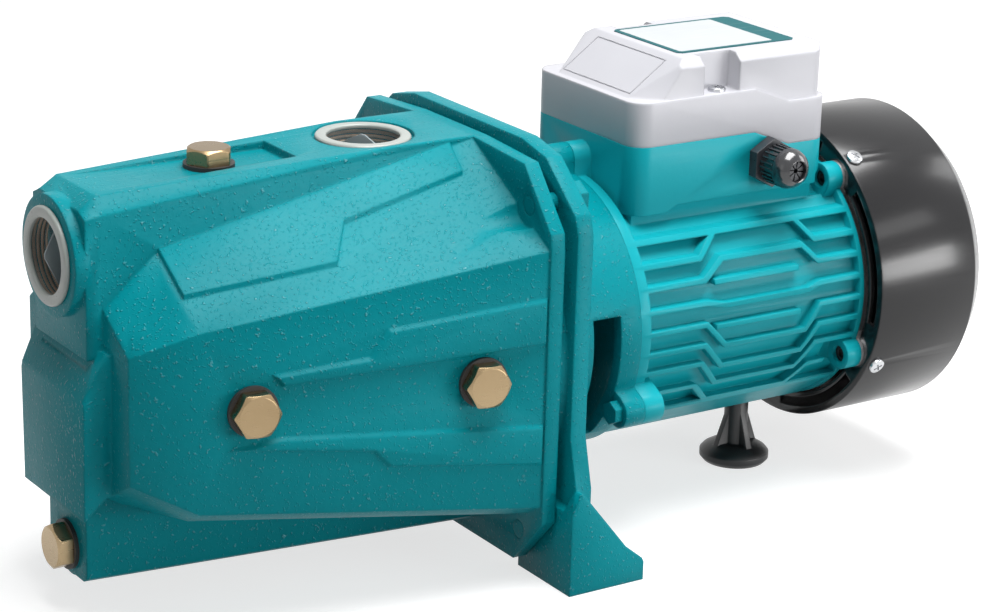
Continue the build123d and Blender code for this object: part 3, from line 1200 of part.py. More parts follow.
def gland_nut():
    """Domed gland nut over the collar."""
    out = (0, -1, 0)
    start = GLAND_HEX_T + GAP
    solid = rod(gland_point(start), out, GLAND_NUT_LENGTH - 5.0, GLAND_NUT_R)
    dome = Plane(origin=gland_point(start + GLAND_NUT_LENGTH - 5.0), z_dir=out)
    solid += dome * Cone(GLAND_NUT_R, GLAND_NUT_R - 3.2, 5.0, align=(Align.CENTER, Align.CENTER, Align.MIN))
    solid -= rod(gland_point(start - 1.0), out, 7.0, GLAND_NUT_R - 2.0 + PLAY)
    solid -= rod(gland_point(start + 5.9), out, 8.0, GLAND_BORE_R + 1.2 + PLAY)
    return solid - rod(gland_point(0), out, 60.0, GLAND_BORE_R)


def gland_seal():
    """Rubber sleeve that grips the cable, squeezed by the nut."""
    out = (0, -1, 0)
    start = GLAND_HEX_T + 5.6
    return rod(gland_point(start), out, 8.0, GLAND_BORE_R + 1.2) - rod(gland_point(start - 1), out, 12.0, GLAND_BORE_R - 1.2)


# ------------------------------------------------------------------ plugs and transit caps
def plug(seat, outward):
    """Hexagon head plug with its shank in the casing."""
    foot = seat + outward * PLUG_RING_T
    head = hex_rod(foot, outward, PLUG_HEAD_T, PLUG_HEX_AF)
    corner_r = PLUG_HEX_AF / math.sqrt(3) - 0.2
    round_h = PLUG_HEAD_T - PLUG_CHAMFER
    low = (Align.CENTER, Align.CENTER, Align.MIN)
    crown = Plane(origin=foot, z_dir=outward) * Cylinder(corner_r, round_h, align=low)
    crown += Plane(origin=foot + outward * round_h, z_dir=outward) * Cone(corner_r, PLUG_HEX_AF / 2 - 0.6, PLUG_CHAMFER, align=low)
    shank = rod(seat - outward * PLUG_SHANK_LENGTH, outward, PLUG_SHANK_LENGTH + PLUG_RING_T + 1.0, PLUG_SHANK_R)
    return (head & crown) + shank


def plug_ring(seat, outward):
    """Sealing ring under a plug's head."""
    outer = rod(seat, outward, PLUG_RING_T, PLUG_RING_R)
    return outer - rod(seat - outward, outward, PLUG_RING_T + 2.0, PLUG_SHANK_R + PLAY)


def transit_cap(mouth, outward):
    """Push-in cap: rim, spigot and a stiffening blade across the bore."""
    inward = -outward
    rim = rod(mouth, outward, CAP_RIM_T, CAP_R)
    spigot = rod(mouth, inward, CAP_SPIGOT_LENGTH, PORT_ENTRY_R - PLAY - 0.03)
    solid = rim + spigot - rod(mouth + inward * 20, outward, 40.0, CAP_BORE_R)
    floor = rod(mouth + inward * CAP_SPIGOT_LENGTH, outward, 1.2, CAP_BORE_R + 0.5)
    across = Vector(0, 1, 0)
    plane = Plane(origin=mouth + inward * CAP_SPIGOT_LENGTH, x_dir=across, z_dir=outward)
    blade = extrude(plane * Rectangle(2 * CAP_BORE_R + 0.6, CAP_WEB_T), amount=CAP_SPIGOT_LENGTH)
    return solid + floor + blade


# ------------------------------------------------------------------ assembly
def build_nodes():
    """All nodes of the pump, by name."""
    front_outer, front_inner, front_balls = bearing(BEARING_X, FRONT_WIDTH, FRONT_BORE_R, FRONT_OUTER_R, 8)
    rear_outer, rear_inner, rear_balls = bearing(REAR_BEARING_X, REAR_WIDTH, REAR_BORE_R, REAR_OUTER_R, 8)
    nodes = {
        "pump_casing": pump_casing(), "casing_gasket": casing_gasket(), "casing_bolts": casing_bolts(),
        "pump_bracket": pump_bracket(), "bracket_bolts": bracket_bolts(),
        "ejector_nozzle": ejector_nozzle(), "ejector_venturi": ejector_venturi(), "ejector_o_ring": ejector_o_ring(),
        "diffuser": diffuser(), "impeller": impeller(), "impeller_nut": impeller_nut(),
        "seal_seat": seal_seat(), "seal_head": seal_head(), "seal_spring": seal_spring(), "shaft_slinger": shaft_slinger(),
        "motor_shaft": motor_shaft(), "rotor_core": rotor_core(), "stator_core": stator_core(), "stator_windings": stator_windings(),
        "front_bearing_outer_ring": front_outer, "front_bearing_inner_ring": front_inner, "front_bearing_balls": front_balls,
        "rear_bearing_outer_ring": rear_outer, "rear_bearing_inner_ring": rear_inner, "rear_bearing_balls": rear_balls,
        "wave_washer": wave_washer(), "motor_frame": motor_frame(), "end_shield": end_shield(),
        "end_shield_screws": end_shield_screws(), "cooling_fan": cooling_fan(), "fan_clip": fan_clip(),
        "fan_cover": fan_cover(), "fan_cover_screws": fan_cover_screws(), "rear_support_foot": rear_support_foot(),
        "terminal_box_lid": terminal_box_lid(), "lid_gasket": lid_gasket(), "lid_screws": lid_screws(),
        "rating_plate": rating_plate(), "terminal_board": terminal_board(), "terminal_studs": terminal_studs(),
        "capacitor": capacitor(), "earth_screw": earth_screw(),
        "gland_body": gland_body(), "gland_nut": gland_nut(), "gland_seal": gland_seal(),
        "suction_transit_cap": transit_cap(Vector(BOSS_X, 0, SUCTION_Z), Vector(-1, 0, 0)),
        "outlet_transit_cap": transit_cap(Vector(OUTLET_X, 0, OUTLET_Z), Vector(0, 0, 1)),
    }
    for name, (seat, outward) in plug_seats().items():
        nodes[name + "_plug"] = plug(seat, outward)
        nodes[name + "_plug_ring"] = plug_ring(seat, outward)
    return nodes


def as_compound(shape):
    """One shape with each of its solids kept apart."""
    pieces = shape if isinstance(shape, list) else [shape]
    solids = [solid for piece in pieces for solid in piece.solids()]
    return solids[0] if len(solids) == 1 else Compound(children=solids)


if __name__ == "__main__":
    os.makedirs("parts", exist_ok=True)
    for node_name, node_shape in build_nodes().items():
        export_step(as_compound(node_shape), os.path.join("parts", node_name + ".step"))
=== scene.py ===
"""Looks for the shallow well jet pump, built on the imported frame."""

import json
import logging
import math
from dataclasses import dataclass
from enum import Enum
from typing import Iterable, Optional, Sequence

import bmesh
import bpy
from mathutils import Matrix, Vector


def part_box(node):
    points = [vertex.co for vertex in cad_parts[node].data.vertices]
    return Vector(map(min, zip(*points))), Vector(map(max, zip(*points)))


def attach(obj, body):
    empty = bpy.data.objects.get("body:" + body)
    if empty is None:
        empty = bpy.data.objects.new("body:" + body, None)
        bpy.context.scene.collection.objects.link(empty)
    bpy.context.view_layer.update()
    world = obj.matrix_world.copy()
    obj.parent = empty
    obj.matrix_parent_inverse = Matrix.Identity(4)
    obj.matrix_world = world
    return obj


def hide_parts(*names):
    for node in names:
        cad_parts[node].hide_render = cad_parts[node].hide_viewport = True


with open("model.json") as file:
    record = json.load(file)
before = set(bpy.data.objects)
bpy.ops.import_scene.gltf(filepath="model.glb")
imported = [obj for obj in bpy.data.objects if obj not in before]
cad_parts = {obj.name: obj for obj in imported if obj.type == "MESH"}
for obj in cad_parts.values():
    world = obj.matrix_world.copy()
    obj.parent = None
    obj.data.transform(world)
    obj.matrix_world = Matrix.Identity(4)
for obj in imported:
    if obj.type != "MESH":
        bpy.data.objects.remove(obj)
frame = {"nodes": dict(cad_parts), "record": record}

log = logging.getLogger("pump")

MM = 0.001
FULL_TURN = 2 * math.pi

TARGET = Vector((0.00557, 0.0, 0.09553))
WHITE = (1.0, 1.0, 1.0, 1.0)

WAVE_SCALE, WAVE_SHARE = 40.0, 0.8
PEEL_SCALE, PEEL_SHARE = 330.0, 0.28
GRIT_SCALE, GRIT_RANGE = 700.0, (0.60, 0.76)
TONE_DETAIL, TONE_RANGE = 4.0, (0.3, 0.7)
MARK_TURN, MARK_STRETCH, MARK_RANGE = (0.4, 0.7, 0.2), (40.0, 900.0, 900.0), (0.55, 0.75)
MARK_SHINE = 0.72
SPECK_FROM = 0.4
BUMP_STRENGTH = 0.6

SHARP_ANGLE = 35.0
ROUND_ANGLE = 28.0
FLAT_ANGLE = 0.6
CAD_WELD = 2e-6
MESH_WELD = 1e-7

Colour = tuple[float, float, float]
Profile = Sequence[tuple[float, float]]
Socket, Node, Tree = bpy.types.NodeSocket, bpy.types.Node, bpy.types.NodeTree
Piece, Material, Shape = bpy.types.Object, bpy.types.Material, bmesh.types.BMesh


class View(Enum):
    """The main camera's place, in degrees and metres."""

    AZIMUTH = -33.7
    ELEVATION = 18.19
    ROLL = 1.72
    DISTANCE = 1.236
    LENS = 102.92


class Body(Enum):
    """Names of the moving bodies that pieces ride on."""

    PUMP = "pump"
    GLAND_CAP = "gland_cap"
    GLAND_SLEEVE = "gland_sleeve"
    SUCTION_CAP = "suction_cap"
    OUTLET_CAP = "outlet_cap"


# ---------------------------------------------------------------- shader helpers
class NodeSheet:
    """A node tree with short calls for adding and joining nodes."""

    def __init__(self, tree: Tree) -> None:
        """Starts on an empty tree."""
        self.tree = tree
        self.tree.nodes.clear()

    def add(self, kind: str, **settings: object) -> Node:
        """Adds a node and sets its properties.

        Args:
            kind: The node's type name.
            settings: Property values of the node.

        Returns:
            The new node.
        """
        node = self.tree.nodes.new(kind)
        for name, value in settings.items():
            setattr(node, name, value)
        return node

    def feed(self, node: Node, name: str, value: object) -> None:
        """Sets an input to a constant, or joins it to an output."""
        self.join(next(s for s in node.inputs if s.name == name and s.enabled), value)

    def join(self, socket: Socket, value: object) -> None:
        """Sets an input socket to a constant, or joins it to an output.

        Args:
            socket: The input socket.
            value: A constant or another node's output socket.
        """
        if isinstance(value, Socket):
            self.tree.links.new(value, socket)
        else:
            socket.default_value = value

    def noise(self, vector: object, scale: float, detail: float, rough: float = 0.5) -> Socket:
        """Adds a noise texture.

        Args:
            vector: The coordinates.
            scale: Features per metre.
            detail: Octaves.
            rough: Share of each finer octave.

        Returns:
            The noise value.
        """
        node = self.add("ShaderNodeTexNoise")
        self.feed(node, "Vector", vector)
        self.feed(node, "Scale", scale)
        self.feed(node, "Detail", detail)
        self.feed(node, "Roughness", rough)
        return node.outputs["Fac"]

    def ramp(self, value: object, low: float, high: float, to_low: float = 0.0,
             to_high: float = 1.0) -> Socket:
        """Maps a range of values onto another, clamped.

        Args:
            value: The value to map.
            low: Start of its range.
            high: End of its range.
            to_low: Result at the start.
            to_high: Result at the end.

        Returns:
            The mapped value.
        """
        node = self.add("ShaderNodeMapRange")
        self.feed(node, "Value", value)
        self.feed(node, "From Min", low)
        self.feed(node, "From Max", high)
        self.feed(node, "To Min", to_low)
        self.feed(node, "To Max", to_high)
        return node.outputs["Result"]

    def maths(self, operation: str, a: object, b: object = 0.0) -> Socket:
        """Adds a maths node of one or two values.

        Args:
            operation: Its operation name.
            a: First value.
            b: Second value.

        Returns:
            The result.
        """
        node = self.add("ShaderNodeMath", operation=operation)
        for socket, value in zip(node.inputs, (a, b)):
            self.join(socket, value)
        return node.outputs[0]

    def mix(self, factor: object, a: Colour, b: Colour) -> Socket:
        """Mixes two colours.

        Args:
            factor: Share of the second colour.
            a: First colour.
            b: Second colour.

        Returns:
            The mixed colour.
        """
        node = self.add("ShaderNodeMix", data_type="RGBA")
        self.feed(node, "Factor", factor)
        for socket, value in zip((node.inputs[6], node.inputs[7]), (a, b)):
            socket.default_value = (*value, 1.0)
        return node.outputs[2]

    def place(self) -> Socket:
        """Adds the object's own coordinates."""
        return self.add("ShaderNodeTexCoord").outputs["Object"]


def group_tree(name: str, inputs: dict[str, float], outputs: Iterable[str]) -> NodeSheet:
    """Starts a shader group with number inputs and outputs.

    Args:
        name: The group's name.
        inputs: Input names with their usual values.
        outputs: Output names.

    Returns:
        The sheet of the new group.
    """
    tree = bpy.data.node_groups.new(name, "ShaderNodeTree")
    for label, value in inputs.items():
        socket = tree.interface.new_socket(label, in_out="INPUT", socket_type="NodeSocketFloat")
        socket.default_value = value
    for label in outputs:
        tree.interface.new_socket(label, in_out="OUTPUT", socket_type="NodeSocketFloat")
    return NodeSheet(tree)


def cast_grain_group() -> Tree:
    """Skin of a painted casting: broad waves, orange peel and raised specks.

    Returns:
        The group, with outputs Height and Speck.
    """
    sheet = group_tree("cast_grain", {"Scale": 1.0, "Grit": 0.5}, ("Height", "Speck"))
    given = sheet.add("NodeGroupInput")
    result = sheet.add("NodeGroupOutput")
    scaled = sheet.add("ShaderNodeVectorMath", operation="SCALE")
    sheet.feed(scaled, "Vector", sheet.place())
    sheet.feed(scaled, "Scale", given.outputs["Scale"])
    where = scaled.outputs[0]
    waves = sheet.noise(where, WAVE_SCALE, 2.0)
    peel = sheet.noise(where, PEEL_SCALE, 2.0)
    grit = sheet.ramp(sheet.noise(where, GRIT_SCALE, 1.0), *GRIT_RANGE)
    coarse = sheet.maths("ADD", sheet.maths("MULTIPLY", waves, WAVE_SHARE),
                         sheet.maths("MULTIPLY", peel, PEEL_SHARE))
    fine = sheet.maths("MULTIPLY", grit, given.outputs["Grit"])
    sheet.feed(result, "Height", sheet.maths("ADD", coarse, fine))
    sheet.feed(result, "Speck", grit)
    return sheet.tree


def tone_group() -> Tree:
    """Slow change of tone over a surface, with a finer mottle.

    Returns:
        The group, with the output Tone about 0.5.
    """
    sheet = group_tree("tone_drift", {"Scale": 18.0}, ("Tone",))
    given = sheet.add("NodeGroupInput")
    result = sheet.add("NodeGroupOutput")
    node = sheet.add("ShaderNodeTexNoise")
    sheet.feed(node, "Vector", sheet.place())
    sheet.feed(node, "Scale", given.outputs["Scale"])
    sheet.feed(node, "Detail", TONE_DETAIL)
    sheet.feed(result, "Tone", sheet.ramp(node.outputs["Fac"], *TONE_RANGE))
    return sheet.tree


def scratch_group() -> Tree:
    """Fine handling marks that change the roughness a little.

    Returns:
        The group, with the output Marks.
    """
    sheet = group_tree("handling_marks", {"Scale": 1.0}, ("Marks",))
    given = sheet.add("NodeGroupInput")
    result = sheet.add("NodeGroupOutput")
    stretch = sheet.add("ShaderNodeMapping")
    sheet.feed(stretch, "Vector", sheet.place())
    sheet.feed(stretch, "Rotation", MARK_TURN)
    sheet.feed(stretch, "Scale", MARK_STRETCH)
    scaled = sheet.add("ShaderNodeVectorMath", operation="SCALE")
    sheet.feed(scaled, "Vector", stretch.outputs[0])
    sheet.feed(scaled, "Scale", given.outputs["Scale"])
    sheet.feed(result, "Marks", sheet.ramp(sheet.noise(scaled.outputs[0], 1.0, 2.0), *MARK_RANGE))
    return sheet.tree


class Finishes:
    """Makes each material once and hands it out."""

    def __init__(self) -> None:
        """Builds the shared groups."""
        self.grain = cast_grain_group()
        self.tone = tone_group()
        self.marks = scratch_group()
        self.made: dict[str, Material] = {}

    def get(self, finish: "Finish") -> Material:
        """Material of a finish.

        Args:
            finish: The finish wanted.

        Returns:
            Its material.
        """
        if finish.name not in self.made:
            self.made[finish.name] = finish.build(self)
        return self.made[finish.name]


@dataclass(frozen=True)
class Finish:
    """A surface finish with its colour, gloss and relief."""

    name: str
    colour: Colour
    shade: Colour
    roughness: float
    metallic: float = 0.0
    coat: float = 0.0
    coat_roughness: float = 0.15
    relief: float = 0.0
    grain_scale: float = 1.0
    grit: float = 0.0
    sparkle: float = 0.0
    round_edge: float = 0.0
    see_through: float = 0.0
    gloss: float = 0.5

    def build(self, kit: Finishes) -> Material:
        """Builds the material.

        Args:
            kit: Holder of the shared groups.

        Returns:
            The new material.
        """
        material = bpy.data.materials.new(self.name)
        material.use_nodes = True
        sheet = NodeSheet(material.node_tree)
        shader = sheet.add("ShaderNodeBsdfPrincipled")
        output = sheet.add("ShaderNodeOutputMaterial")
        tone = sheet.add("ShaderNodeGroup", node_tree=kit.tone)
        marks = sheet.add("ShaderNodeGroup", node_tree=kit.marks)
        grain = sheet.add("ShaderNodeGroup", node_tree=kit.grain)
        sheet.feed(grain, "Scale", self.grain_scale)
        sheet.feed(grain, "Grit", self.grit)
        colour = sheet.mix(tone.outputs["Tone"], self.shade, self.colour)
        rough = sheet.ramp(marks.outputs["Marks"], 0.0, 1.0, self.roughness, self.roughness * MARK_SHINE)
        sheet.feed(shader, "Base Color", colour)
        sheet.feed(shader, "Roughness", rough)
        sheet.feed(shader, "Metallic", self.metallic)
        sheet.feed(shader, "Coat Weight", self.coat)
        sheet.feed(shader, "Coat Roughness", self.coat_roughness)
        if self.sparkle:
            glint = sheet.ramp(grain.outputs["Speck"], SPECK_FROM, 1.0, self.gloss, self.gloss + self.sparkle)
            sheet.feed(shader, "Specular IOR Level", glint)
        else:
            sheet.feed(shader, "Specular IOR Level", self.gloss)
        normal = None
        if self.round_edge:
            edge = sheet.add("ShaderNodeBevel", samples=4)
            sheet.feed(edge, "Radius", self.round_edge)
            normal = edge.outputs[0]
        if self.relief:
            bump = sheet.add("ShaderNodeBump")
            sheet.feed(bump, "Strength", BUMP_STRENGTH)
            sheet.feed(bump, "Distance", self.relief)
            sheet.feed(bump, "Height", grain.outputs["Height"])
            if normal is not None:
                sheet.feed(bump, "Normal", normal)
            normal = bump.outputs[0]
        if normal is not None:
            sheet.feed(shader, "Normal", normal)
        surface = shader.outputs[0]
        if self.see_through:
            clear = sheet.add("ShaderNodeBsdfTransparent")
            blend = sheet.add("ShaderNodeMixShader")
            blend.inputs[0].default_value = self.see_through
            sheet.join(blend.inputs[1], surface)
            sheet.join(blend.inputs[2], clear.outputs[0])
            surface = blend.outputs[0]
        sheet.feed(output, "Surface", surface)
        return material


class Paint(Enum):
    """Every finish on the pump."""

    CAST_TEAL = Finish("cast_teal", (0.0, 0.215, 0.25), (0.0, 0.19, 0.222), 0.4, coat=0.02, relief=0.0007,
                       grit=0.75, sparkle=0.5, round_edge=0.0016, gloss=0.07)
    FRAME_TEAL = Finish("frame_teal", (0.004, 0.315, 0.365), (0.003, 0.285, 0.33), 0.4, coat=0.03,
                        relief=0.00025, grain_scale=1.6, grit=0.05, round_edge=0.0009, gloss=0.12)
    BRASS = Finish("machined_brass", (0.36, 0.27, 0.16), (0.26, 0.185, 0.10), 0.3, metallic=1.0,
                   relief=0.00012, grain_scale=2.0, round_edge=0.0004)
    THREAD = Finish("cut_thread", (0.50, 0.36, 0.24), (0.36, 0.25, 0.16), 0.35, metallic=0.3, relief=0.0001,
                    grain_scale=2.0)
    ZINC = Finish("bright_zinc", (0.62, 0.63, 0.64), (0.5, 0.51, 0.53), 0.25, metallic=1.0, round_edge=0.0003)
    STEEL = Finish("turned_steel", (0.62, 0.63, 0.65), (0.52, 0.53, 0.55), 0.28, metallic=1.0)
    BEARING = Finish("bearing_steel", (0.80, 0.81, 0.83), (0.74, 0.75, 0.77), 0.12, metallic=1.0)
    CAST_ALLOY = Finish("cast_alloy", (0.70, 0.71, 0.72), (0.60, 0.61, 0.62), 0.45, metallic=1.0,
                        relief=0.0003, grain_scale=1.5, grit=0.2)
    LAMINATE = Finish("stacked_steel", (0.30, 0.30, 0.32), (0.22, 0.22, 0.24), 0.4, metallic=0.9)
    COPPER = Finish("enamelled_copper", (0.55, 0.19, 0.05), (0.40, 0.13, 0.03), 0.3, metallic=0.6,
                    relief=0.0002, grain_scale=2.5, grit=0.4)
    RUBBER = Finish("black_rubber", (0.022, 0.022, 0.022), (0.014, 0.014, 0.014), 0.6, relief=0.0001,
                    grain_scale=2.0)
    GLOSS_BLACK = Finish("gloss_black", (0.008, 0.008, 0.009), (0.006, 0.006, 0.007), 0.22, coat=0.15,
                         coat_roughness=0.12, relief=0.00004, grain_scale=1.0, round_edge=0.0012, gloss=0.35)
    MATT_BLACK = Finish("matt_black", (0.018, 0.018, 0.019), (0.012, 0.012, 0.013), 0.42, relief=0.00012,
                        grain_scale=1.5, round_edge=0.0006)
    CHARCOAL = Finish("charcoal_nylon", (0.045, 0.048, 0.055), (0.03, 0.032, 0.038), 0.35, relief=0.00008,
                      grain_scale=2.0, round_edge=0.0004)
    LID_GREY = Finish("lid_grey", (0.47, 0.47, 0.50), (0.44, 0.44, 0.47), 0.4, coat=0.04, gloss=0.3,
                      relief=0.0001, grain_scale=1.2, round_edge=0.0016)
    MILKY = Finish("milky_rim", (0.42, 0.45, 0.42), (0.36, 0.39, 0.37), 0.35, coat=0.2, see_through=0.2,
                   round_edge=0.0005)
    CLEAR = Finish("clear_film", (0.34, 0.40, 0.42), (0.30, 0.36, 0.38), 0.2, coat=0.3, see_through=0.82)
    BLADE = Finish("frosted_blade", (0.36, 0.42, 0.44), (0.30, 0.36, 0.38), 0.25, coat=0.2, see_through=0.35)
    GLOSS_NYLON = Finish("gloss_nylon", (0.02, 0.021, 0.024), (0.014, 0.015, 0.018), 0.16, coat=0.6,
                         relief=0.00004, grain_scale=2.0, round_edge=0.0004)
    PRINT_TEAL = Finish("printed_teal", (0.002, 0.09, 0.10), (0.002, 0.08, 0.09), 0.5, gloss=0.15)
    PRINT_WHITE = Finish("printed_white", (0.46, 0.48, 0.49), (0.42, 0.44, 0.45), 0.5, gloss=0.15)
    FIBRE = Finish("gasket_fibre", (0.10, 0.11, 0.10), (0.07, 0.08, 0.07), 0.8, relief=0.0001,
                   grain_scale=3.0)
    CERAMIC = Finish("ground_ceramic", (0.85, 0.85, 0.82), (0.78, 0.78, 0.75), 0.25, coat=0.2)
    NORYL = Finish("filled_plastic", (0.04, 0.04, 0.045), (0.03, 0.03, 0.033), 0.45, relief=0.0001)


PAINTED: dict[Paint, tuple[str, ...]] = {
    Paint.CAST_TEAL: ("pump_casing", "pump_bracket", "casing_bolts", "bracket_bolts"),
    Paint.FRAME_TEAL: ("motor_frame",),
    Paint.FIBRE: ("casing_gasket",),
    Paint.BRASS: ("ejector_nozzle", "impeller", "impeller_nut", "terminal_studs"),
    Paint.NORYL: ("ejector_venturi", "diffuser"),
    Paint.RUBBER: ("ejector_o_ring", "shaft_slinger", "lid_gasket", "gland_seal"),
    Paint.CERAMIC: ("seal_seat",),
    # Painted shade: the end_shield_screws heads are matt black to stand in for the shade of the dark holes in
    # the end shield's lugs.
    Paint.MATT_BLACK: ("seal_head", "end_shield_screws", "cooling_fan", "rear_support_foot",
                       "terminal_board"),
    Paint.STEEL: ("seal_spring", "motor_shaft", "wave_washer", "fan_clip"),
    Paint.LAMINATE: ("rotor_core", "stator_core"),
    Paint.COPPER: ("stator_windings",),
    Paint.BEARING: ("front_bearing_outer_ring", "front_bearing_inner_ring", "front_bearing_balls",
                    "rear_bearing_outer_ring", "rear_bearing_inner_ring", "rear_bearing_balls"),
    Paint.CAST_ALLOY: ("end_shield",),
    Paint.GLOSS_BLACK: ("fan_cover",),
    Paint.ZINC: ("fan_cover_screws", "lid_screws", "earth_screw"),
    Paint.LID_GREY: ("terminal_box_lid", "capacitor"),
    Paint.PRINT_TEAL: ("rating_plate",),
    Paint.CHARCOAL: ("gland_body",),
    Paint.GLOSS_NYLON: ("gland_nut",),
    Paint.MILKY: ("suction_transit_cap", "outlet_transit_cap"),
}
NODE_PAINT = {node: paint for paint, nodes in PAINTED.items() for node in nodes}


# ---------------------------------------------------------------- mesh helpers
def body_of_node(node: str) -> str:
    """Body that a CAD node belongs to."""
    bodies = frame["record"]["behaviour"]["bodies"]
    return next(name for name, members in bodies.items() if node in members)


@dataclass
class Softener:
    """Copies CAD nodes with rounded edges and smooth shading."""

    finishes: Finishes

    def copy(self, node: str, width: float, segments: int = 2) -> Piece:
        """Rounded copy of a CAD node that stands for it.

        Args:
            node: The CAD node's name.
            width: Width of the rounding, in metres.
            segments: Steps across the rounding.

        Returns:
            The new object, riding on the node's body.
        """
        source = frame["nodes"][node]
        mesh = source.data.copy()
        work = bmesh.new()
        work.from_mesh(mesh)
        bmesh.ops.remove_doubles(work, verts=work.verts, dist=CAD_WELD)
        limit = math.radians(FLAT_ANGLE)
        bmesh.ops.dissolve_limit(work, angle_limit=limit, verts=work.verts, edges=work.edges)
        work.to_mesh(mesh)
        work.free()
        piece = bpy.data.objects.new(node + "_skin", mesh)
        bpy.context.scene.collection.objects.link(piece)
        bevel = piece.modifiers.new("round", "BEVEL")
        bevel.width = width
        bevel.segments = segments
        bevel.limit_method = "ANGLE"
        bevel.angle_limit = math.radians(ROUND_ANGLE)
        bevel.use_clamp_overlap = True
        bevel.miter_outer = "MITER_ARC"
        apply_modifiers(piece)
        smooth(piece, SHARP_ANGLE)
        paint(piece, self.finishes.get(NODE_PAINT[node].value))
        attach(piece, body_of_node(node))
        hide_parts(node)
        log.info("rounded %s: %d faces", node, len(piece.data.polygons))
        return piece


def apply_modifiers(piece: Piece) -> None:
    """Turns a piece with modifiers into a plain mesh.

    Args:
        piece: The piece to change.
    """
    bpy.context.view_layer.update()
    graph = bpy.context.evaluated_depsgraph_get()
    finished = bpy.data.meshes.new_from_object(piece.evaluated_get(graph))
    piece.modifiers.clear()
    piece.data = finished


def smooth(piece: Piece, angle: float) -> None:
    """Smooth shading with sharp edges kept above an angle.

    Args:
        piece: The piece to shade.
        angle: The angle in degrees.
    """
    work = bmesh.new()
    work.from_mesh(piece.data)
    limit = math.radians(angle)
    for face in work.faces:
        face.smooth = True
    for edge in work.edges:
        edge.smooth = not edge.is_manifold or edge.calc_face_angle(0.0) < limit
    work.to_mesh(piece.data)
    work.free()


def paint(piece: Piece, material: Material) -> None:
    """Gives a piece one material.

    Args:
        piece: The piece.
        material: Its material.
    """
    piece.data.materials.clear()
    piece.data.materials.append(material)
    piece.data.polygons.foreach_set("material_index", [0] * len(piece.data.polygons))


# ---------------------------------------------------------------- stage
LAMPS = (
    ("overhead", (0.15, -0.25, 1.5), (1.4, 0.8), 46.0),
    ("near_strip", (0.7, -1.5, 0.9), (1.4, 0.3), 3.0),
    ("near_card", (0.95, -1.45, 0.12), (0.9, 0.36), 12.0),
    ("left_fill", (-1.5, -0.6, 0.5), (0.6, 0.9), 0.8),
    ("right_rim", (1.6, -0.3, 0.8), (0.4, 0.9), 5.0),
)


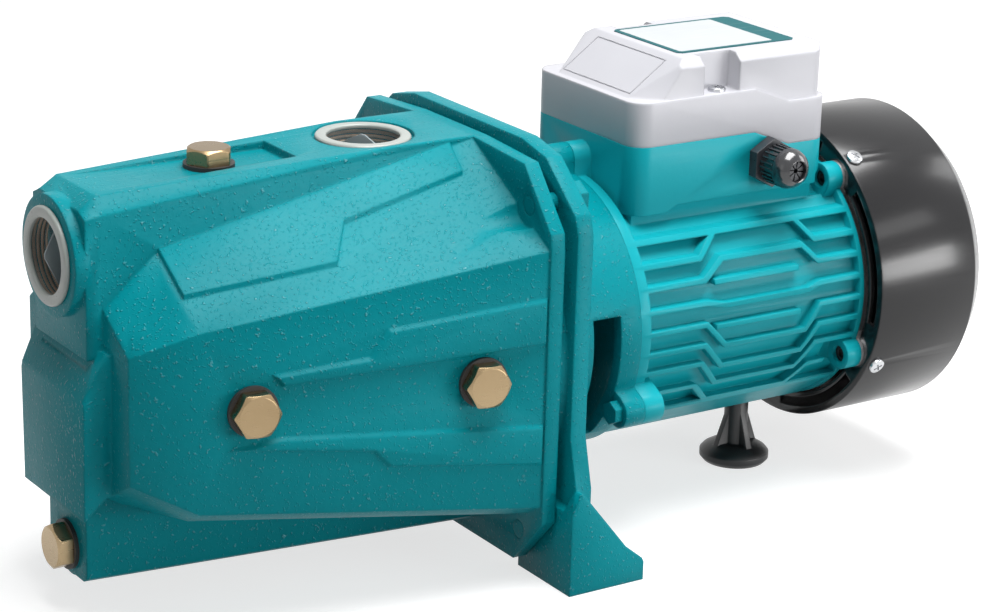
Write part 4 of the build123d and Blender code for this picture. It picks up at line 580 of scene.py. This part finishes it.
@dataclass
class Studio:
    """Camera, lights, floor and surroundings."""

    target: Vector
    sensor: float = 36.0
    near: float = 0.05
    far: float = 20.0
    fill: float = 0.13
    fill_tint: Colour = (0.95, 0.97, 1.0)
    floor_reach: float = 3.0
    floor_drop: float = 0.2 * MM
    floor_shade: float = 0.4
    floor_glow: float = 0.72
    floor_roughness: float = 0.9

    def camera(self) -> None:
        """Places the main camera."""
        data = bpy.data.cameras.new("main")
        camera = bpy.data.objects.new("main_camera", data)
        bpy.context.scene.collection.objects.link(camera)
        azimuth = math.radians(View.AZIMUTH.value)
        elevation = math.radians(View.ELEVATION.value)
        back = Vector((math.sin(azimuth) * math.cos(elevation), -math.cos(azimuth) * math.cos(elevation),
                       math.sin(elevation)))
        roll = Matrix.Rotation(math.radians(View.ROLL.value), 4, "Z").to_quaternion()
        turn = (-back).to_track_quat("-Z", "Y") @ roll
        camera.rotation_mode = "QUATERNION"
        camera.rotation_quaternion = turn
        camera.location = self.target + back * View.DISTANCE.value
        data.lens = View.LENS.value
        data.sensor_width = self.sensor
        data.clip_start = self.near
        data.clip_end = self.far
        bpy.context.scene.camera = camera

    def lamp(self, name: str, place: Sequence[float], size: tuple[float, float], power: float) -> None:
        """Adds an area lamp aimed at the pump.

        Args:
            name: The lamp's name.
            place: Where it is, from the target.
            size: Its width and height.
            power: Its power in watts.
        """
        data = bpy.data.lights.new(name, "AREA")
        data.shape = "RECTANGLE"
        data.size, data.size_y = size
        data.energy = power
        lamp = bpy.data.objects.new(name, data)
        bpy.context.scene.collection.objects.link(lamp)
        lamp.location = self.target + Vector(place)
        lamp.rotation_mode = "QUATERNION"
        lamp.rotation_quaternion = (-Vector(place)).to_track_quat("-Z", "Y")

    def lights(self) -> None:
        """Adds the lamps."""
        for name, place, size, power in LAMPS:
            self.lamp(name, place, size, power)

    def seen(self, sheet: NodeSheet) -> Socket:
        """Mask that is 1 where the surroundings are seen, straight or in a gloss.

        Args:
            sheet: The sheet that the nodes go on.

        Returns:
            The mask.
        """
        ray = sheet.add("ShaderNodeLightPath")
        mirrored = sheet.maths("MAXIMUM", ray.outputs["Is Glossy Ray"], ray.outputs["Is Transmission Ray"])
        return sheet.maths("MAXIMUM", ray.outputs["Is Camera Ray"], mirrored)

    def world(self) -> None:
        """White surroundings that light the pump gently."""
        world = bpy.data.worlds.new("studio")
        world.use_nodes = True
        sheet = NodeSheet(world.node_tree)
        soft = sheet.add("ShaderNodeBackground")
        white = sheet.add("ShaderNodeBackground")
        blend = sheet.add("ShaderNodeMixShader")
        output = sheet.add("ShaderNodeOutputWorld")
        sheet.feed(soft, "Color", (*self.fill_tint, 1.0))
        sheet.feed(soft, "Strength", self.fill)
        sheet.feed(white, "Color", WHITE)
        sheet.feed(white, "Strength", 1.0)
        sheet.join(blend.inputs[0], self.seen(sheet))
        sheet.join(blend.inputs[1], soft.outputs[0])
        sheet.join(blend.inputs[2], white.outputs[0])
        sheet.feed(output, "Surface", blend.outputs[0])
        bpy.context.scene.world = world

    def floor(self) -> None:
        """Adds the white floor that takes the shadow."""
        reach, low = self.floor_reach, -self.floor_drop
        mesh = bpy.data.meshes.new("floor")
        plan = [(-reach, -reach, low), (reach, -reach, low), (reach, reach, low), (-reach, reach, low)]
        mesh.from_pydata(plan, [], [(0, 1, 2, 3)])
        piece = bpy.data.objects.new("floor", mesh)
        bpy.context.scene.collection.objects.link(piece)
        material = bpy.data.materials.new("white_floor")
        material.use_nodes = True
        sheet = NodeSheet(material.node_tree)
        shader = sheet.add("ShaderNodeBsdfPrincipled")
        output = sheet.add("ShaderNodeOutputMaterial")
        sheet.feed(shader, "Base Color", (self.floor_shade,) * 3 + (1.0,))
        sheet.feed(shader, "Roughness", self.floor_roughness)
        sheet.feed(shader, "Specular IOR Level", 0.0)
        sheet.feed(shader, "Emission Color", WHITE)
        sheet.feed(shader, "Emission Strength", sheet.maths("MULTIPLY", self.seen(sheet), self.floor_glow))
        sheet.feed(output, "Surface", shader.outputs[0])
        mesh.materials.append(material)

    def build(self) -> None:
        """Sets up the whole studio."""
        scene = bpy.context.scene
        scene.view_settings.view_transform = "Standard"
        self.camera()
        self.lights()
        self.world()
        self.floor()


# ---------------------------------------------------------------- repeated shapes
class Rule(NodeSheet):
    """A geometry node tree that repeats one shape by a rule."""

    def __init__(self, name: str, sizes: dict[str, float]) -> None:
        """Starts the tree with its named inputs.

        Args:
            name: The tree's name.
            sizes: Number inputs with their usual values.
        """
        super().__init__(bpy.data.node_groups.new(name, "GeometryNodeTree"))
        face = self.tree.interface
        face.new_socket("Geometry", in_out="INPUT", socket_type="NodeSocketGeometry")
        face.new_socket("Part", in_out="INPUT", socket_type="NodeSocketObject")
        face.new_socket("Finish", in_out="INPUT", socket_type="NodeSocketMaterial")
        face.new_socket("Count", in_out="INPUT", socket_type="NodeSocketInt")
        for label, value in sizes.items():
            socket = face.new_socket(label, in_out="INPUT", socket_type="NodeSocketFloat")
            socket.default_value = value
        face.new_socket("Geometry", in_out="OUTPUT", socket_type="NodeSocketGeometry")
        self.given = self.add("NodeGroupInput")

    def link(self, source: Socket, target: Socket) -> None:
        """Joins two sockets."""
        self.tree.links.new(source, target)

    def repeat(self, offset: Socket, turn: Optional[Socket]) -> None:
        """Closes the tree: copies of the part at each point, made real and painted.

        Args:
            offset: Place of each copy.
            turn: Euler turn of each copy, if any.
        """
        points = self.add("GeometryNodePoints")
        self.link(self.given.outputs["Count"], points.inputs["Count"])
        self.link(offset, points.inputs["Position"])
        part = self.add("GeometryNodeObjectInfo")
        self.link(self.given.outputs["Part"], part.inputs["Object"])
        copies = self.add("GeometryNodeInstanceOnPoints")
        self.link(points.outputs[0], copies.inputs["Points"])
        self.link(part.outputs["Geometry"], copies.inputs["Instance"])
        if turn is not None:
            self.link(turn, copies.inputs["Rotation"])
        real = self.add("GeometryNodeRealizeInstances")
        self.link(copies.outputs[0], real.inputs[0])
        finish = self.add("GeometryNodeSetMaterial")
        self.link(real.outputs[0], finish.inputs["Geometry"])
        self.link(self.given.outputs["Finish"], finish.inputs["Material"])
        result = self.add("NodeGroupOutput")
        self.link(finish.outputs[0], result.inputs[0])

    def make(self, name: str, part: Piece, material: Material,
             count: int, **sizes: float) -> Piece:
        """Runs the tree and keeps the result as a plain mesh.

        Args:
            name: The new piece's name.
            part: The shape that is repeated.
            material: Its material.
            count: Number of copies.
            sizes: Values of the number inputs.

        Returns:
            The finished piece.
        """
        piece = bpy.data.objects.new(name, bpy.data.meshes.new(name))
        bpy.context.scene.collection.objects.link(piece)
        modifier = piece.modifiers.new("rule", "NODES")
        modifier.node_group = self.tree
        given = {"Part": part, "Finish": material, "Count": count, **sizes}
        for item in self.tree.interface.items_tree:
            if item.in_out == "INPUT" and item.name in given:
                modifier[item.identifier] = given[item.name]
        apply_modifiers(piece)
        bpy.data.objects.remove(part)
        return piece


def row_rule() -> Rule:
    """Copies in a straight row along Z.

    Returns:
        The rule, with the input Pitch.
    """
    rule = Rule("row_of_copies", {"Pitch": 0.002})
    index = rule.add("GeometryNodeInputIndex")
    step = rule.add("ShaderNodeMath", operation="MULTIPLY")
    rule.link(index.outputs[0], step.inputs[0])
    rule.link(rule.given.outputs["Pitch"], step.inputs[1])
    place = rule.add("ShaderNodeCombineXYZ")
    rule.link(step.outputs[0], place.inputs["Z"])
    rule.repeat(place.outputs[0], None)
    return rule


def ring_rule() -> Rule:
    """Copies in a ring about Z, each turned to face outward.

    Returns:
        The rule, with the input Start, the first copy's angle.
    """
    rule = Rule("ring_of_copies", {"Start": 0.0})
    index = rule.add("GeometryNodeInputIndex")
    share = rule.add("ShaderNodeMath", operation="DIVIDE")
    rule.link(index.outputs[0], share.inputs[0])
    rule.link(rule.given.outputs["Count"], share.inputs[1])
    angle = rule.add("ShaderNodeMath", operation="MULTIPLY_ADD")
    rule.link(share.outputs[0], angle.inputs[0])
    angle.inputs[1].default_value = FULL_TURN
    rule.link(rule.given.outputs["Start"], angle.inputs[2])
    turn = rule.add("ShaderNodeCombineXYZ")
    rule.link(angle.outputs[0], turn.inputs["Z"])
    centre = rule.add("ShaderNodeCombineXYZ")
    rule.repeat(centre.outputs[0], turn.outputs[0])
    return rule


# ---------------------------------------------------------------- mesh pieces
def in_mm(points: Profile) -> list[tuple[float, float]]:
    """Points given in millimetres, as metres."""
    return [(a * MM, b * MM) for a, b in points]


def lathe(profile: Profile, steps: int = 96) -> Shape:
    """Shape turned about Z from (radius, height) points.

    Args:
        profile: The outline, running so that faces look outward.
        steps: Number of steps round.

    Returns:
        The mesh being built.
    """
    work = bmesh.new()
    rings = []
    for i in range(steps):
        angle = FULL_TURN * i / steps
        rings.append([work.verts.new((r * math.cos(angle), r * math.sin(angle), z)) for r, z in profile])
    for i in range(steps):
        here, there = rings[i], rings[(i + 1) % steps]
        for j in range(len(profile)):
            k = (j + 1) % len(profile)
            work.faces.new((here[j], there[j], there[k], here[k]))
    bmesh.ops.remove_doubles(work, verts=work.verts, dist=MESH_WELD)
    bmesh.ops.dissolve_degenerate(work, dist=MESH_WELD, edges=work.edges)
    bmesh.ops.recalc_face_normals(work, faces=work.faces)
    return work


def prism(outline: Profile, low: float, high: float) -> Shape:
    """Upright prism from an (x, y) outline.

    Args:
        outline: Corners of the plan.
        low: Lower height.
        high: Upper height.

    Returns:
        The mesh being built.
    """
    work = bmesh.new()
    floor = [work.verts.new((x, y, low)) for x, y in outline]
    roof = [work.verts.new((x, y, high)) for x, y in outline]
    work.faces.new(list(reversed(floor)))
    work.faces.new(roof)
    for i in range(len(outline)):
        j = (i + 1) % len(outline)
        work.faces.new((floor[i], floor[j], roof[j], roof[i]))
    bmesh.ops.recalc_face_normals(work, faces=work.faces)
    return work


def as_object(work: Shape, name: str) -> Piece:
    """Object from a mesh being built.

    Args:
        work: The mesh, freed here.
        name: The object's name.

    Returns:
        The new object.
    """
    mesh = bpy.data.meshes.new(name)
    work.to_mesh(mesh)
    work.free()
    piece = bpy.data.objects.new(name, mesh)
    bpy.context.scene.collection.objects.link(piece)
    return piece


def round_edges(piece: Piece, width: float, segments: int = 2) -> None:
    """Rounds a piece's edges.

    Args:
        piece: The piece.
        width: Width of the rounding.
        segments: Steps across it.
    """
    bevel = piece.modifiers.new("round", "BEVEL")
    bevel.width = width
    bevel.segments = segments
    bevel.limit_method = "ANGLE"
    bevel.angle_limit = math.radians(ROUND_ANGLE)
    apply_modifiers(piece)


def aim(place: Vector, outward: Vector) -> Matrix:
    """Matrix that takes local Z to a direction at a place."""
    return Matrix.Translation(place) @ outward.to_track_quat("Z", "Y").to_matrix().to_4x4()


@dataclass
class Fitter:
    """Finishes pieces: moves, shades, paints and mounts them."""

    finishes: Finishes

    def fit(self, piece: Piece, where: Matrix, finish: Paint, body: Body,
            stands_for: Sequence[str] = (), angle: float = SHARP_ANGLE) -> None:
        """Puts a piece in its place on a body.

        Args:
            piece: The piece, built about its own origin.
            where: Its place in the row frame.
            finish: Its finish.
            body: The body it rides on.
            stands_for: CAD nodes that it replaces.
            angle: Edges sharper than this stay sharp, in degrees.
        """
        piece.data.transform(where)
        smooth(piece, angle)
        paint(piece, self.finishes.get(finish.value))
        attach(piece, body.value)
        if stands_for:
            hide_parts(*stands_for)
        log.info("fitted %s: %d faces", piece.name, len(piece.data.polygons))


@dataclass
class TransitCap:
    """Milky push-in cap of a port, with a clear floor and a pointed blade."""

    node: str
    body: Body
    outward: Vector
    across: float
    rim_r: float = 19.95 * MM
    rim_t: float = 1.9 * MM
    rim_chamfer_in: float = 0.65 * MM
    rim_chamfer_down: float = 0.7 * MM
    lip: float = 0.6 * MM
    lip_drop: float = 0.5 * MM
    seat_gap: float = 0.1 * MM
    bore_r: float = 15.2 * MM
    wall_t: float = 0.7 * MM
    wall_gap: float = 0.05 * MM
    depth: float = 6.0 * MM
    floor_t: float = 0.6 * MM
    blade_t: float = 0.9 * MM
    blade_sink: float = 0.05 * MM
    blade_gap: float = 0.2 * MM
    tip_half: float = 1.0 * MM
    tip_drop: float = 0.3 * MM
    rim_round: float = 0.25 * MM
    blade_round: float = 0.2 * MM

    def mouth(self) -> Vector:
        """Centre of the port's mouth, under the cap's rim.

        Returns:
            The point in the row frame.
        """
        low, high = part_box(self.node)
        middle = (low + high) / 2
        reach = (high - low).dot(Vector([abs(a) for a in self.outward])) / 2
        return middle + self.outward * (reach - self.rim_t)

    def rim(self) -> Piece:
        """The flat rim that lies on the port.

        Returns:
            The rim about the mouth's centre.
        """
        rim, bore, t, seat = self.rim_r, self.bore_r, self.rim_t, self.seat_gap
        outline = [(bore, t - self.lip_drop), (bore + self.lip, t), (rim - self.rim_chamfer_in, t),
                   (rim, t - self.rim_chamfer_down), (rim, seat), (bore + self.wall_t, seat), (bore, seat)]
        piece = as_object(lathe(list(reversed(outline))), self.node + "_rim")
        round_edges(piece, self.rim_round)
        return piece

    def spigot(self) -> Piece:
        """The thin wall that goes into the bore.

        Returns:
            The wall about the mouth's centre.
        """
        bore, outer = self.bore_r, self.bore_r + self.wall_t
        outline = [(bore, self.wall_gap), (bore, -self.depth), (outer, -self.depth), (outer, self.wall_gap)]
        return as_object(lathe(outline), self.node + "_spigot")

    def floor(self) -> Piece:
        """The thin floor of the cap.

        Returns:
            The floor about the mouth's centre.
        """
        top = self.floor_t - self.depth
        outline = [(0.0, top), (self.bore_r, top), (self.bore_r, -self.depth), (0.0, -self.depth)]
        return as_object(lathe(outline), self.node + "_floor")

    def blade(self) -> Piece:
        """The pointed blade that stands on the floor.

        Returns:
            The blade about the mouth's centre.
        """
        foot = self.floor_t - self.blade_sink - self.depth
        tip = self.rim_t - self.tip_drop
        reach = self.bore_r - self.blade_gap
        outline = [(foot, -reach), (tip, -self.tip_half), (tip, self.tip_half), (foot, reach)]
        piece = as_object(prism(outline, -self.blade_t / 2, self.blade_t / 2), self.node + "_blade")
        upright = Matrix.Rotation(-math.pi / 2, 4, "Y")
        piece.data.transform(Matrix.Rotation(self.across, 4, "Z") @ upright)
        round_edges(piece, self.blade_round)
        return piece

    def build(self, fitter: Fitter) -> None:
        """Adds the rim, wall, floor and blade.

        Args:
            fitter: Mounts the pieces.
        """
        where = aim(self.mouth(), self.outward)
        fitter.fit(self.rim(), where, Paint.MILKY, self.body, (self.node,))
        fitter.fit(self.spigot(), where, Paint.CLEAR, self.body)
        fitter.fit(self.floor(), where, Paint.CLEAR, self.body)
        fitter.fit(self.blade(), where, Paint.BLADE, self.body)


@dataclass
class PortThread:
    """Turns of the cut thread in a port's bore, round its cap."""

    cap: TransitCap
    turns: int = 8
    pitch: float = 1.9 * MM
    start: float = 1.4 * MM
    gap: float = 0.1 * MM
    height: float = 0.65 * MM
    crest_half: float = 0.25 * MM
    root_half: float = 0.75 * MM
    steps: int = 72

    def build(self, fitter: Fitter, row: Rule) -> None:
        """Adds the turns as one piece.

        Args:
            fitter: Mounts the piece.
            row: Rule that repeats a shape in a row.
        """
        crest = self.cap.bore_r + self.cap.wall_t + self.gap
        root = crest + self.height
        outline = [(crest, self.crest_half), (root, self.root_half),
                   (root, -self.root_half), (crest, -self.crest_half)]
        turn = as_object(lathe(outline, self.steps), "thread_turn")
        material = fitter.finishes.get(Paint.THREAD.value)
        thread = row.make(self.cap.node + "_thread", turn, material, self.turns, Pitch=-self.pitch)
        mouth = aim(self.cap.mouth(), self.cap.outward)
        fitter.fit(thread, mouth @ Matrix.Translation((0, 0, -self.start)), Paint.THREAD, Body.PUMP)


@dataclass
class Gland:
    """Ribbed nut with a glossy dome and a fingered seal, outlines in millimetres."""

    shell: Profile = ((7.1, 0.0), (8.0, 0.0), (8.3, 0.6), (8.3, 8.6), (8.9, 9.4), (8.9, 11.2), (8.1, 13.6),
                      (6.6, 15.6), (5.0, 16.7), (4.9, 16.9), (4.5, 16.3), (4.4, 13.0), (7.1, 11.0))
    rib: Profile = ((7.8, -0.45), (8.9, -0.27), (8.9, 0.27), (7.8, 0.45))
    rib_span: tuple[float, float] = (0.8 * MM, 8.9 * MM)
    ribs: int = 24
    finger: Profile = ((1.0, -0.25), (4.2, -1.35), (4.35, 0.0), (4.2, 1.35), (1.0, 0.25))
    finger_span: tuple[float, float] = (12.6 * MM, 14.8 * MM)
    fingers: int = 8
    finger_start: float = 0.2
    shell_round: float = 0.35 * MM
    round_steps: int = 3
    dome_angle: float = 50.0

    def build(self, fitter: Fitter, ring: Rule) -> None:
        """Adds the nut's shell, its ribs and the seal's fingers.

        Args:
            fitter: Mounts the pieces.
            ring: Rule that repeats a shape in a ring.
        """
        low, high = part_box("gland_nut")
        where = aim(Vector(((low.x + high.x) / 2, high.y, (low.z + high.z) / 2)), Vector((0, -1, 0)))
        shell = as_object(lathe(in_mm(self.shell)), "gland_nut_shell")
        round_edges(shell, self.shell_round, self.round_steps)
        fitter.fit(shell, where, Paint.GLOSS_NYLON, Body.GLAND_CAP, ("gland_nut",), self.dome_angle)
        rib = as_object(prism(in_mm(self.rib), *self.rib_span), "gland_rib")
        nylon = fitter.finishes.get(Paint.GLOSS_NYLON.value)
        ribs = ring.make("gland_nut_ribs", rib, nylon, self.ribs, Start=0.0)
        fitter.fit(ribs, where, Paint.GLOSS_NYLON, Body.GLAND_CAP)
        finger = as_object(prism(in_mm(self.finger), *self.finger_span), "gland_finger")
        charcoal = fitter.finishes.get(Paint.CHARCOAL.value)
        fingers = ring.make("gland_seal_fingers", finger, charcoal, self.fingers, Start=self.finger_start)
        fitter.fit(fingers, where, Paint.CHARCOAL, Body.GLAND_SLEEVE)


@dataclass
class CrossScrews:
    """Pan heads with a cross recess over the CAD screws."""

    head_r: float = 3.85 * MM
    head_t: float = 2.0 * MM
    dome: Profile = ((0.0, 0.0), (1.0, 0.0), (1.0, 0.45), (0.93, 0.75), (0.72, 0.95), (0.0, 1.0))
    steps: int = 48
    arm: float = 2.1 * MM
    arm_half: float = 0.42 * MM
    recess: float = 0.9 * MM
    cutter_over: float = 1.0 * MM
    first_turn: float = 0.5
    next_turn: float = 0.9

    def head(self, name: str) -> Piece:
        """One head about its own origin, seat down.

        Args:
            name: The object's name.

        Returns:
            The head.
        """
        outline = [(r * self.head_r, z * self.head_t) for r, z in self.dome]
        piece = as_object(lathe(outline, self.steps), name)
        a, h = self.arm, self.arm_half
        cross = [(a, -h), (a, h), (h, h), (h, a), (-h, a), (-h, h),
                 (-a, h), (-a, -h), (-h, -h), (-h, -a), (h, -a), (h, -h)]
        bottom, top = self.head_t - self.recess, self.head_t + self.cutter_over
        cutter = as_object(prism(cross, bottom, top), name + "_cut")
        cut = piece.modifiers.new("cross", "BOOLEAN")
        cut.operation = "DIFFERENCE"
        cut.solver = "EXACT"
        cut.object = cutter
        apply_modifiers(piece)
        bpy.data.objects.remove(cutter)
        return piece

    def build(self, fitter: Fitter, node: str, seats: Sequence[tuple[Vector, Vector]]) -> None:
        """Adds one set of heads as a single piece.

        Args:
            fitter: Mounts the piece.
            node: CAD node that the heads stand for.
            seats: Seat centre and outward direction of each head.
        """
        work = bmesh.new()
        for index, (seat, outward) in enumerate(seats):
            head = self.head(f"{node}_head_{index}")
            spin = Matrix.Rotation(self.first_turn + self.next_turn * index, 4, "Z")
            head.data.transform(aim(seat, outward) @ spin)
            work.from_mesh(head.data)
            bpy.data.objects.remove(head)
        fitter.fit(as_object(work, node + "_heads"), Matrix.Identity(4), Paint.ZINC, Body.PUMP, (node,))


LID_SEAT_DROP = 2.7 * MM
LID_SCREW_R = 3.9 * MM
COVER_HEAD_R = 3.8 * MM
COVER_SCREW_AIMS = ((53.9, -26.3), (33.0, 50.1))


def lid_screw_seats() -> list[tuple[Vector, Vector]]:
    """Seats of the lid screws.

    Returns:
        Seat centre and outward direction of each.
    """
    low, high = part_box("lid_screws")
    x = (low.x + high.x) / 2
    seat = high.z - LID_SEAT_DROP
    return [(Vector((x, y, seat)), Vector((0, 0, 1))) for y in (low.y + LID_SCREW_R, high.y - LID_SCREW_R)]


def cover_screw_seats() -> list[tuple[Vector, Vector]]:
    """Seats of the fan cover screws, on its round wall.

    Returns:
        Seat centre and outward direction of each.
    """
    low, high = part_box("fan_cover_screws")
    cover_low, cover_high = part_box("fan_cover")
    centre = Vector(((low.x + high.x) / 2, 0, (cover_low.z + cover_high.z) / 2))
    wall_r = (cover_high.z - cover_low.z) / 2
    seats = []
    for sideways, up in COVER_SCREW_AIMS:
        for side in (-1, 1):
            outward = Vector((0, side * sideways, up)).normalized()
            seats.append((centre + outward * wall_r, outward))
    return seats


@dataclass
class RatingPlate:
    """Blank plate on the lid: teal border and a wider band at one end, pale empty field."""

    border: float = 2.2 * MM
    header: float = 9.0 * MM
    corner: float = 2.0 * MM
    field_corner: float = 0.8 * MM
    lift: float = 0.08 * MM
    field_sink: float = 0.12 * MM

    def build(self, fitter: Fitter) -> None:
        """Adds the plate and its field.

        Args:
            fitter: Mounts the pieces.
        """
        low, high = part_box("rating_plate")
        plan = self.plan(low, high, 0.0, self.corner)
        plate = as_object(prism(plan, low.z, high.z - self.lift), "plate_border")
        fitter.fit(plate, Matrix.Identity(4), Paint.PRINT_TEAL, Body.PUMP, ("rating_plate",))
        inner = self.plan(low, high - Vector((self.header, 0, 0)), self.border, self.field_corner)
        field = as_object(prism(inner, high.z - self.field_sink, high.z), "plate_field")
        fitter.fit(field, Matrix.Identity(4), Paint.PRINT_WHITE, Body.PUMP)

    def plan(self, low: Vector, high: Vector, inset: float, c: float) -> list[tuple[float, float]]:
        """Rectangle with cut corners.

        Args:
            low: Lowest corner.
            high: Highest corner.
            inset: Distance inside the rectangle.
            c: Size of the corner cut.

        Returns:
            The plan's corners.
        """
        x0, x1, y0, y1 = low.x + inset, high.x - inset, low.y + inset, high.y - inset
        return [(x0 + c, y0), (x1 - c, y0), (x1, y0 + c), (x1, y1 - c),
                (x1 - c, y1), (x0 + c, y1), (x0, y1 - c), (x0, y0 + c)]


@dataclass
class SlopePanel:
    """Thin raised outline on the lid's sloping front."""

    width: float = 0.5 * MM
    lift: float = 0.22 * MM
    half: float = 25.0 * MM
    top_x: float = 27.0 * MM
    foot_x: float = 2.4 * MM
    foot_drop: float = 17.1 * MM
    top_gap: float = 3.5 * MM
    foot_gap: float = 4.5 * MM

    def bars(self, length: float) -> list[tuple[float, float, float, float]]:
        """Extents of the four bars on the slope.

        Args:
            length: Length of the slope.

        Returns:
            Start and end down the slope, then across it, of each bar.
        """
        w, half = self.width / 2, self.half
        start, end = self.top_gap, length - self.foot_gap
        return [(start - w, start + w, -half - w, half + w), (end - w, end + w, -half - w, half + w),
                (start + w, end - w, -half - w, -half + w), (start + w, end - w, half - w, half + w)]

    def build(self, fitter: Fitter) -> None:
        """Adds the outline.

        Args:
            fitter: Mounts the piece.
        """
        low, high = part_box("terminal_box_lid")
        top = Vector((low.x + self.top_x, 0, high.z))
        slope = Vector((low.x + self.foot_x, 0, high.z - self.foot_drop)) - top
        along = slope.normalized()
        out = along.cross(Vector((0, 1, 0))).normalized()
        out = out if out.z > 0 else -out
        work = bmesh.new()
        for a0, a1, y0, y1 in self.bars(slope.length):
            plan = ((a0, y0), (a1, y0), (a1, y1), (a0, y1))
            ends = [top + along * a + Vector((0, y, 0)) for a, y in plan]
            lower = [work.verts.new(c - out * self.lift) for c in ends]
            upper = [work.verts.new(c + out * self.lift) for c in ends]
            work.faces.new(lower)
            work.faces.new(list(reversed(upper)))
            for i in range(4):
                j = (i + 1) % 4
                work.faces.new((lower[i], upper[i], upper[j], lower[j]))
        bmesh.ops.recalc_face_normals(work, faces=work.faces)
        fitter.fit(as_object(work, "lid_panel_outline"), Matrix.Identity(4), Paint.LID_GREY, Body.PUMP)


# ---------------------------------------------------------------- pump
ROUNDING: dict[str, tuple[float, int]] = {
    "pump_casing": (0.0016, 2), "pump_bracket": (0.0014, 2), "motor_frame": (0.0007, 2),
    "terminal_box_lid": (0.0016, 3), "fan_cover": (0.0008, 2), "rear_support_foot": (0.0005, 2),
}


def paint_nodes(finishes: Finishes) -> None:
    """Gives every CAD node its finish.

    Args:
        finishes: Holder of the materials.
    """
    for name, node in frame["nodes"].items():
        wanted = NODE_PAINT.get(name)
        if wanted is None:
            wanted = Paint.RUBBER if name.endswith("_ring") else Paint.BRASS
        material = finishes.get(wanted.value)
        for index in range(len(node.material_slots)):
            node.material_slots[index].material = material
        log.info("painted %s", name)


def main() -> None:
    """Builds the scene."""
    logging.basicConfig(level=logging.INFO, format="%(message)s")
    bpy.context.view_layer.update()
    finishes = Finishes()
    paint_nodes(finishes)
    softener = Softener(finishes)
    for node, (width, segments) in ROUNDING.items():
        softener.copy(node, width, segments)
    fitter = Fitter(finishes)
    row, ring = row_rule(), ring_rule()
    outlet_turn = math.radians(20.0)
    caps = (TransitCap("suction_transit_cap", Body.SUCTION_CAP, Vector((-1, 0, 0)), 0.0),
            TransitCap("outlet_transit_cap", Body.OUTLET_CAP, Vector((0, 0, 1)), outlet_turn))
    for cap in caps:
        cap.build(fitter)
        PortThread(cap).build(fitter, row)
    Gland().build(fitter, ring)
    CrossScrews().build(fitter, "lid_screws", lid_screw_seats())
    CrossScrews(head_r=COVER_HEAD_R).build(fitter, "fan_cover_screws", cover_screw_seats())
    RatingPlate().build(fitter)
    SlopePanel().build(fitter)
    Studio(TARGET).build()


if __name__ == "__main__":
    main()
